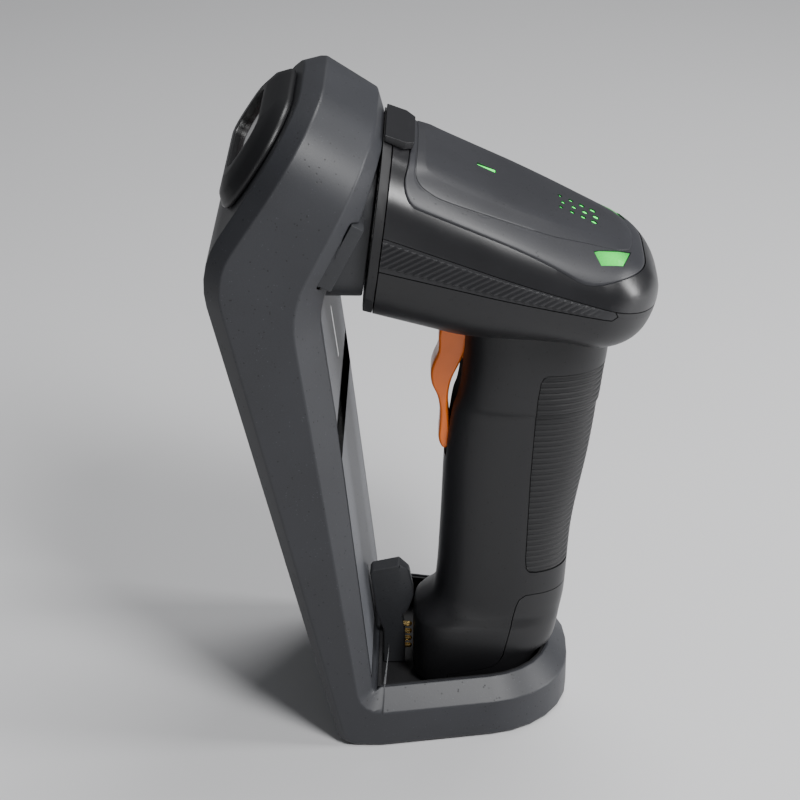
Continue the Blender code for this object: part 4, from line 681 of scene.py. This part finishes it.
LEFT_AS_MADE = {
    "cradle_inner_cover": PALE,
    "head_window": GLASS,
    "exit_window": GLASS,
    "window_gasket": RUBBER,
    "dock_status_lens": GUIDE,
    "charge_board": BOARD,
    "main_board": BOARD,
    "illumination_board": BOARD,
    "power_socket": STEEL,
    "ballast_plate": STEEL,
    "engine_bracket": STEEL,
    "trigger_bracket": STEEL,
    "trigger_pin": STEEL,
    "trigger_spring": STEEL,
    "vibration_motor": STEEL,
    "scan_engine": BLACK,
    "engine_lens": LENS,
    "beeper": BLACK,
    "radio_antenna": GOLD,
    "trigger_switch": BLACK,
    "switch_plunger": ORANGE,
    "battery_cell": SLEEVE,
    "battery_contacts": BLACK,
    "charge_contacts": GOLD,
    "status_lens_left": STATUS_LIGHT,
    "status_lens_right": STATUS_LIGHT,
}
for i in range(1, 5):
    LEFT_AS_MADE[f"contact_pin_{i}"] = GOLD
    LEFT_AS_MADE[f"base_screw_{i}"] = STEEL
    LEFT_AS_MADE[f"board_screw_{i}"] = STEEL
for name, finish in LEFT_AS_MADE.items():
    node = frame["nodes"][name]
    for slot in node.material_slots:
        slot.material = finish.material


# ---------------------------------------------------------------- scanner shells

# Half-width, front, tail, front radius and tail radius of the roof's seam, in millimetres, and of its pocket
SEAM = rounded_rectangle(30.4 * MM, -26.0 * MM, 57.0 * MM, 6.0 * MM, 22.0 * MM)
WIDE_SEAM = rounded_rectangle(30.7 * MM, -26.3 * MM, 57.3 * MM, 6.3 * MM, 22.3 * MM)
# Half outlines of the crest and of the raised plateau inside it, as (x, s) from the front round to the tail
CREST = (
    (0.0, -23.6), (20.0, -23.4), (24.6, -21.4), (26.1, -17.0), (26.4, -12.0), (25.6, -0.4), (23.3, 21.2),
    (19.6, 35.0), (16.4, 44.1), (14.6, 47.4), (10.0, 50.6), (0.0, 52.0),
)
PLATEAU = (
    (0.0, -21.0), (16.0, -20.8), (20.4, -18.6), (21.9, -14.0), (22.0, -8.0), (21.2, 2.0), (18.6, 20.0),
    (14.6, 33.0), (11.6, 39.4), (7.8, 43.0), (4.0, 44.6), (0.0, 45.0),
)
PLATEAU_RISE = 0.7 * MM
SHELL_CENTRE = Vector((0.0, 12.0 * MM))
SHELL_RAYS = 200
SHELL_THICKNESS = 2.0 * MM


def whole_outline(half):
    """A half outline of (x, s) millimetres from front to tail, closed with its mirror image and smoothed."""
    points = list(half) + [(-x, s) for x, s in reversed(half[1:-1])]
    return [tuple(point) for point in smooth_loop(in_mm(points), 8)]


def reach_along(outline, direction):
    """Distance from the shell's centre to an outline along a direction."""
    found = 0.0
    for a, b in zip(outline, outline[1:] + outline[:1]):
        a, b = Vector(a) - SHELL_CENTRE, Vector(b) - SHELL_CENTRE
        side = b - a
        across = direction.cross(side)
        if abs(across) < 1e-12:
            continue
        along, share = a.cross(side) / across, a.cross(direction) / across
        if -1e-9 <= share <= 1 + 1e-9 and along > found:
            found = along
    return found


def shell_loops():
    """Plan loops of the top shell from the seam to the middle, each a list of (x, s, rise) points."""
    crest, plateau = whole_outline(CREST), whole_outline(PLATEAU)
    rays = []
    for k in range(SHELL_RAYS):
        angle = 2 * math.pi * (k + 0.5) / SHELL_RAYS
        direction = Vector((math.cos(angle), math.sin(angle)))
        rays.append((direction, *(reach_along(outline, direction) for outline in (SEAM, crest, plateau))))
    loops = []

    def loop(place, rise):
        found = []
        for direction, seam, edge, flat in rays:
            point = SHELL_CENTRE + direction * place(seam, edge, flat)
            found.append((point.x, point.y, rise))
        loops.append(found)

    loop(lambda seam, edge, flat: seam, -0.45 * MM)
    loop(lambda seam, edge, flat: seam - 0.12 * MM, -0.16 * MM)
    loop(lambda seam, edge, flat: seam - 0.4 * MM, 0.0)
    for share in (0.25, 0.5, 0.75):
        loop(lambda seam, edge, flat: seam + (edge - seam) * share, 0.0)
    loop(lambda seam, edge, flat: edge + 0.5 * MM, 0.0)
    loop(lambda seam, edge, flat: edge + 0.25 * MM, -0.14 * MM)
    loop(lambda seam, edge, flat: edge + 0.05 * MM, -0.12 * MM)
    loop(lambda seam, edge, flat: edge - 0.05 * MM, 0.10 * MM)
    loop(lambda seam, edge, flat: edge - 0.3 * MM, 0.16 * MM)
    loop(lambda seam, edge, flat: edge + (flat - edge) * 0.5, 0.42 * MM)
    loop(lambda seam, edge, flat: flat + 0.3 * MM, PLATEAU_RISE - 0.05 * MM)
    loop(lambda seam, edge, flat: flat - 0.3 * MM, PLATEAU_RISE)
    for share in (0.85, 0.7, 0.55, 0.4, 0.25, 0.12):
        loop(lambda seam, edge, flat: flat * share, PLATEAU_RISE)
    return loops


def top_shell_form():
    """The roof as one curved skin with a raised plateau, a crest round it and a soft seam edge."""
    bm = bmesh.new()
    sides = []
    for lowered in (0.0, SHELL_THICKNESS):
        rows = []
        for points in shell_loops():
            row = []
            for x, s, rise in points:
                height = roof_height(x, s) - lowered + (0.0 if lowered else rise)
                row.append(bm.verts.new(BARREL @ Vector((x, s, height))))
            rows.append(row)
        x, s = SHELL_CENTRE
        middle = roof_height(x, s) - lowered + (0.0 if lowered else PLATEAU_RISE)
        centre = bm.verts.new(BARREL @ Vector((x, s, middle)))
        for outer, inner in zip(rows, rows[1:]):
            for k in range(SHELL_RAYS):
                j = (k + 1) % SHELL_RAYS
                bm.faces.new((outer[k], outer[j], inner[j], inner[k]))
        for k in range(SHELL_RAYS):
            bm.faces.new((rows[-1][k], rows[-1][(k + 1) % SHELL_RAYS], centre))
        sides.append(rows[0])
    for k in range(SHELL_RAYS):
        j = (k + 1) % SHELL_RAYS
        bm.faces.new((sides[0][k], sides[1][k], sides[1][j], sides[0][j]))
    return made_from(bm, "top_shell_skin")


def rod_shape(name, start, end, radius, matrix=WORLD, sides=20):
    """A rod between two points of a frame."""
    start, end = Vector(start), Vector(end)
    turn = (end - start).to_track_quat("Z", "Y").to_matrix()
    rings = []
    for place in (start, end):
        ring = []
        for k in range(sides):
            angle = 2 * math.pi * k / sides
            ring.append(place + turn @ Vector((math.cos(angle), math.sin(angle), 0.0)) * radius)
        rings.append(ring)
    return lofted(name, rings, matrix)


def nose_cutter(depth=3.3 * MM):
    return block("nose_cutter", (-FAR, -FAR, -FAR), (FAR, depth, FAR), NOSE)


LENS_OUTLINE = ((21.4, 38.2), (24.4, 41.2), (21.2, 48.3), (13.2, 50.6))
LED_SLOT_HALF = (1.1 * MM, 3.3 * MM)
# The gauge's pips, in millimetres: their first column, pitch, row distance, bow, radius and its growth
PIP_COLUMNS = 4
PIP_START, PIP_PITCH, PIP_ROW, PIP_BOW = 27.0, 3.9, 4.6, 0.9
PIP_RADIUS, PIP_GROWTH = 0.55, 0.13


def lens_pocket(side, spare=GAP):
    outline = grown([(x * side, s) for x, s in in_mm(LENS_OUTLINE)], spare)
    pocket = prism("lens_pocket", outline, ROOF_LOW - GAP, 2.2 * ROOF_LOW, 2, BARREL)
    return cut(pocket, barrel_form("lens_pocket_core", SKIN + GAP))


def shaded(obj, angle=34.0):
    only(obj)
    bpy.ops.object.shade_smooth_by_angle(angle=math.radians(angle))
    return obj


def make_top_shell():
    shell = top_shell_form()
    cut(shell, nose_cutter())
    roof = roof_height(0.0, 0.0)
    above = roof + 4.0 * MM
    x, s = LED_SLOT_HALF
    low, high = (-x, -s, roof - 8.0 * MM), (x, s, above)
    cut(shell, block("led_slot", low, high, BARREL))
    for column in range(PIP_COLUMNS):
        radius = (PIP_RADIUS + PIP_GROWTH * column) * MM + GAP
        for row in (-1, 0, 1):
            s = (PIP_START + PIP_PITCH * column - PIP_BOW * abs(row)) * MM
            x = row * PIP_ROW * MM
            cut(shell, rod_shape("pip_hole", (x, s, roof - 12.0 * MM), (x, s, above), radius, BARREL))
    for side in (1, -1):
        cut(shell, lens_pocket(side))
    dressed(shaded(shell, 30.0), TOP, "scanner", "top_shell")


def make_bezel():
    bezel = barrel_form("bezel_band")
    cut(bezel, barrel_form("bezel_core", WALL))
    cut(bezel, prism("roof_cutter", WIDE_SEAM, ROOF_LOW - GAP, FAR, 2, BARREL))
    cut(bezel, block("below_bezel", (-FAR, -FAR, -FAR), (FAR, FAR, BEZEL_LOW), BARREL))
    cut(bezel, nose_cutter())
    for side in (1, -1):
        cut(bezel, lens_pocket(side))
    dressed(shaded(bezel), SATIN, "scanner", "bezel_frame")


# The rubber strip: its outline in side view, as (s, h), and the height of its upper and lower edges
STRIP_SIDE = ((-40.0, 3.55), (50.0, 13.4), (51.2, 14.9), (50.0, 16.1), (-40.0, 16.1))
STRIP_HIGH = 16.1 * MM
STRIP_LOW_FRONT = 4.2 * MM
STRIP_LOW_RISE, STRIP_LOW_RUN = 9.2, 84.0
STRIP_FROM, STRIP_TO = -62.0 * MM, 58.0 * MM
STRIP_INWARD = 0.12 * MM
RIB_ROWS = (-0.05, 0.0, 0.16, 0.20, 0.35, 0.5, 0.65, 0.8, 0.90, 0.93, 1.0, 1.05)
RIB_FADE_START, RIB_FADE_LENGTH = 36.0 * MM, 12.0 * MM
RIB_LEAN = math.radians(48.0)
RIB_PITCH = 2.3 * MM
RIB_HEIGHT = 0.6 * MM
RIB_STEPS = 8


def strip_low(s):
    return STRIP_LOW_FRONT + (s - BARREL_FRONT) * STRIP_LOW_RISE / STRIP_LOW_RUN


def make_strip(side, name):
    """A rubber strip whose slanting ribs stand proud of a plain border."""
    columns = []
    count = int((STRIP_TO - STRIP_FROM) / RIB_PITCH * RIB_STEPS)
    for i in range(count + 1):
        along = STRIP_FROM + (STRIP_TO - STRIP_FROM) * i / count
        wave = 0.5 - 0.5 * math.cos(2 * math.pi * along / RIB_PITCH)
        column = []
        for share in RIB_ROWS:
            h = STRIP_HIGH
            for _ in range(8):
                s = along + (h - STRIP_LOW_FRONT) / math.tan(RIB_LEAN)
                low = strip_low(s)
                h = low + share * (STRIP_HIGH - low)
            fade = 1.0 - ease((s - RIB_FADE_START) / RIB_FADE_LENGTH)
            proud = wave ** 0.6 * RIB_HEIGHT * fade if 0.18 < share < 0.92 else 0.0
            column.append((s, h, side_reach(min(s, 56.0 * MM), h), proud - STRIP_INWARD))
        columns.append(column)
    bm = bmesh.new()
    outer = [[bm.verts.new((side * (x + up), s, h)) for s, h, x, up in column] for column in columns]
    inner = [[bm.verts.new((side * (x - SKIN), s, h)) for s, h, x, _ in column] for column in columns]
    rows = len(RIB_ROWS)
    for i in range(count):
        for k in range(rows - 1):
            bm.faces.new((outer[i][k], outer[i + 1][k], outer[i + 1][k + 1], outer[i][k + 1]))
            bm.faces.new((inner[i][k], inner[i][k + 1], inner[i + 1][k + 1], inner[i + 1][k]))
        for k in (0, rows - 1):
            bm.faces.new((outer[i][k], outer[i + 1][k], inner[i + 1][k], inner[i][k]))
    for i in (0, count):
        for k in range(rows - 1):
            bm.faces.new((outer[i][k], outer[i][k + 1], inner[i][k + 1], inner[i][k]))
    bmesh.ops.transform(bm, matrix=BARREL, verts=bm.verts)
    strip = made_from(bm, name)
    sides = sorted((20.0 * MM * side, 60.0 * MM * side))
    cut(strip, prism("strip_region", in_mm(STRIP_SIDE), sides[0], sides[1], 0, BARREL), "INTERSECT")
    cut(strip, nose_cutter())
    return strip


CONTACT_POCKET = ((-3.7 * MM, -12.0 * MM, 10.3 * MM), (3.7 * MM, -7.1 * MM, 23.7 * MM))
COVER_WIDTH = (-40.0 * MM, 40.0 * MM)


def make_housing():
    housing = barrel_form("grip_and_belly")
    cut(housing, block("above_belly", (-FAR, -FAR, BEZEL_LOW - GAP), (FAR, FAR, FAR), BARREL))
    cut(housing, grip_form("grip_outer"), "UNION")
    cut(housing, barrel_form("belly_core", WALL))
    cut(housing, grip_form("grip_core", WALL, low=10.0, high=152.0))
    cut(housing, nose_cutter())
    wide = grown(in_mm(STRIP_SIDE), GAP)
    for side in (1, -1):
        sides = sorted((20.0 * MM * side, 60.0 * MM * side))
        pocket = prism("strip_pocket", wide, sides[0], sides[1], 0, BARREL)
        cut(pocket, barrel_form("strip_pocket_core", SKIN + GAP))
        cut(housing, pocket)
    cut(housing, prism("door_cutter", grown(in_mm(DOOR_OUTLINE), GAP), *COVER_WIDTH, 0))
    pocket = prism("panel_pocket", grown(in_mm(PANEL_OUTLINE), GAP), *COVER_WIDTH, 0)
    cut(pocket, grip_form("panel_pocket_core", SKIN + GAP))
    cut(housing, pocket)
    cut(housing, prism("trigger_slot", in_mm(TRIGGER_SLOT), -TRIGGER_SLOT_HALF, TRIGGER_SLOT_HALF, 0))
    cut(housing, block("contact_pocket", *CONTACT_POCKET))
    dressed(shaded(housing, 40.0), HOUSING, "scanner", "handle_housing")


TRIGGER_OUTLINE = (
    (-2.0, 139.0), (-2.4, 131.5), (-4.0, 127.2), (-4.9, 123.5), (-4.5, 119.0), (-2.6, 114.5), (-1.8, 109.5),
    (-1.9, 104.0), (-2.2, 99.0), (-1.4, 96.0), (-0.2, 95.0), (1.1, 95.6), (1.9, 98.0), (2.0, 101.0),
    (1.4, 106.0), (1.0, 111.0), (1.2, 116.0), (2.2, 121.0), (4.4, 126.0), (6.4, 131.0), (8.6, 138.0),
    (12.4, 142.8), (14.0, 147.0), (13.6, 150.0), (11.2, 151.2), (8.4, 150.2), (6.8, 147.6), (2.6, 144.0),
)
TRIGGER_PIVOT = (11.0 * MM, 148.2 * MM)
TRIGGER_BORE_RADIUS = 1.6 * MM
TRIGGER_CROWN = ((5.4, 1.0), (5.32, 0.7), (5.1, 0.42), (4.7, 0.2), (4.1, 0.06), (3.2, 0.0))


def make_trigger():
    outline = [tuple(point) for point in smooth_loop(in_mm(TRIGGER_OUTLINE), 3)]
    crown = [(-x, inset) for x, inset in TRIGGER_CROWN] + [(x, inset) for x, inset in reversed(TRIGGER_CROWN)]
    rings = []
    for x, inset in crown:
        edge = grown(outline, -inset * MM) if inset else outline
        rings.append([(x * MM, y, z) for y, z in edge])
    trigger = lofted("trigger_lever", rings)
    start, end = (-20.0 * MM, *TRIGGER_PIVOT), (20.0 * MM, *TRIGGER_PIVOT)
    cut(trigger, rod_shape("trigger_bore", start, end, TRIGGER_BORE_RADIUS, sides=32))
    dressed(shaded(trigger, 42.0), ORANGE, "trigger", "trigger")


def make_grip_covers():
    door = grip_form("battery_door_cap", low=7.4, high=50.0)
    cut(door, prism("door_region", in_mm(DOOR_OUTLINE), *COVER_WIDTH, 0), "INTERSECT")
    cut(door, grip_form("door_core", WALL, low=10.0, high=60.0))
    dressed(shaded(door, 40.0), DOOR, "scanner", "battery_door")
    panel = grip_form("ribbed_rear_panel", low=50.0, high=132.0, pitch=0.3, rib=0.45 * MM)
    cut(panel, prism("panel_region", in_mm(PANEL_OUTLINE), *COVER_WIDTH, 0), "INTERSECT")
    cut(panel, grip_form("panel_core", SKIN, low=40.0, high=140.0))
    dressed(shaded(panel, 40.0), RUBBER, "scanner", "grip_rear_panel")


def make_raised_light(node, finish, rise):
    """A light's copy that reaches the plateau's surface."""
    light = eased(merged_copy(node, f"{node}_lens"), 0.0)
    up = BARREL.to_3x3() @ Vector((0.0, 0.0, rise))
    for vertex in light.data.vertices:
        vertex.co += up
    dressed(light, finish, "scanner", node)


make_top_shell()
make_bezel()
make_raised_light("led_bar", BAR_LIGHT, 0.55 * MM)
make_raised_light("gauge_lights", PIP_LIGHT, 0.7 * MM)
for side, name in ((1, "side_grip_left"), (-1, "side_grip_right")):
    dressed(shaded(make_strip(side, f"{name}_ribs"), 25.0), RIBBED, "scanner", name)
make_housing()
make_trigger()
make_grip_covers()


# ---------------------------------------------------------------- studio

TARGET = Vector((0.0, -15.0, 110.5)) * MM
CAMERA_ELEVATION = math.radians(28.0)
CAMERA_SWING = math.radians(-1.0)
CAMERA_DISTANCE = 750.0 * MM
CAMERA_LENS = 101.25


def aim(obj, target):
    obj.rotation_euler = (target - obj.location).to_track_quat("-Z", "Y").to_euler()


def add_camera():
    data = bpy.data.cameras.new("camera")
    data.lens = CAMERA_LENS
    data.sensor_width = 36.0
    camera = bpy.data.objects.new("camera", data)
    bpy.context.scene.collection.objects.link(camera)
    flat = math.cos(CAMERA_ELEVATION)
    away = Vector((flat * math.cos(CAMERA_SWING), -flat * math.sin(CAMERA_SWING), math.sin(CAMERA_ELEVATION)))
    camera.location = TARGET + away * CAMERA_DISTANCE
    aim(camera, TARGET)
    data.clip_start = 0.01
    data.clip_end = 50.0
    bpy.context.scene.camera = camera


# Name, place, width and height, and power
LIGHTS = (
    ("key", (0.60, 0.45, 1.00), (0.28, 0.45), 14.0),
    ("roof", (-0.35, 0.20, 1.05), (0.5, 0.35), 7.0),
    ("tail_rim", (0.05, 1.00, 0.40), (0.22, 0.6), 9.0),
    ("fill", (1.25, -0.20, 0.25), (0.5, 0.5), 1.6),
)


def add_light(name, place, size, power):
    data = bpy.data.lights.new(name, "AREA")
    data.shape = "RECTANGLE"
    data.size, data.size_y = size
    data.energy = power
    light = bpy.data.objects.new(name, data)
    bpy.context.scene.collection.objects.link(light)
    light.location = place
    aim(light, TARGET)


def add_floor():
    bpy.ops.object.select_all(action="DESELECT")
    bpy.ops.mesh.primitive_plane_add(size=6.0, location=(0.0, 0.0, 0.0))
    floor = bpy.context.object
    floor.name = "floor"
    pale = Finish("pale_floor", (0.62, 0.62, 0.63), 0.85)
    pale.feed(Base_Color=pale.mix(pale.noise(3.0, 2.0), (0.60, 0.60, 0.61), (0.64, 0.64, 0.65)))
    floor.data.materials.append(pale.material)


def add_world():
    world = bpy.data.worlds.new("studio")
    world.use_nodes = True
    world.node_tree.nodes["Background"].inputs["Color"].default_value = (0.75, 0.77, 0.80, 1.0)
    world.node_tree.nodes["Background"].inputs["Strength"].default_value = 0.16
    bpy.context.scene.world = world


add_camera()
add_world()
add_floor()
for light in LIGHTS:
    add_light(*light)
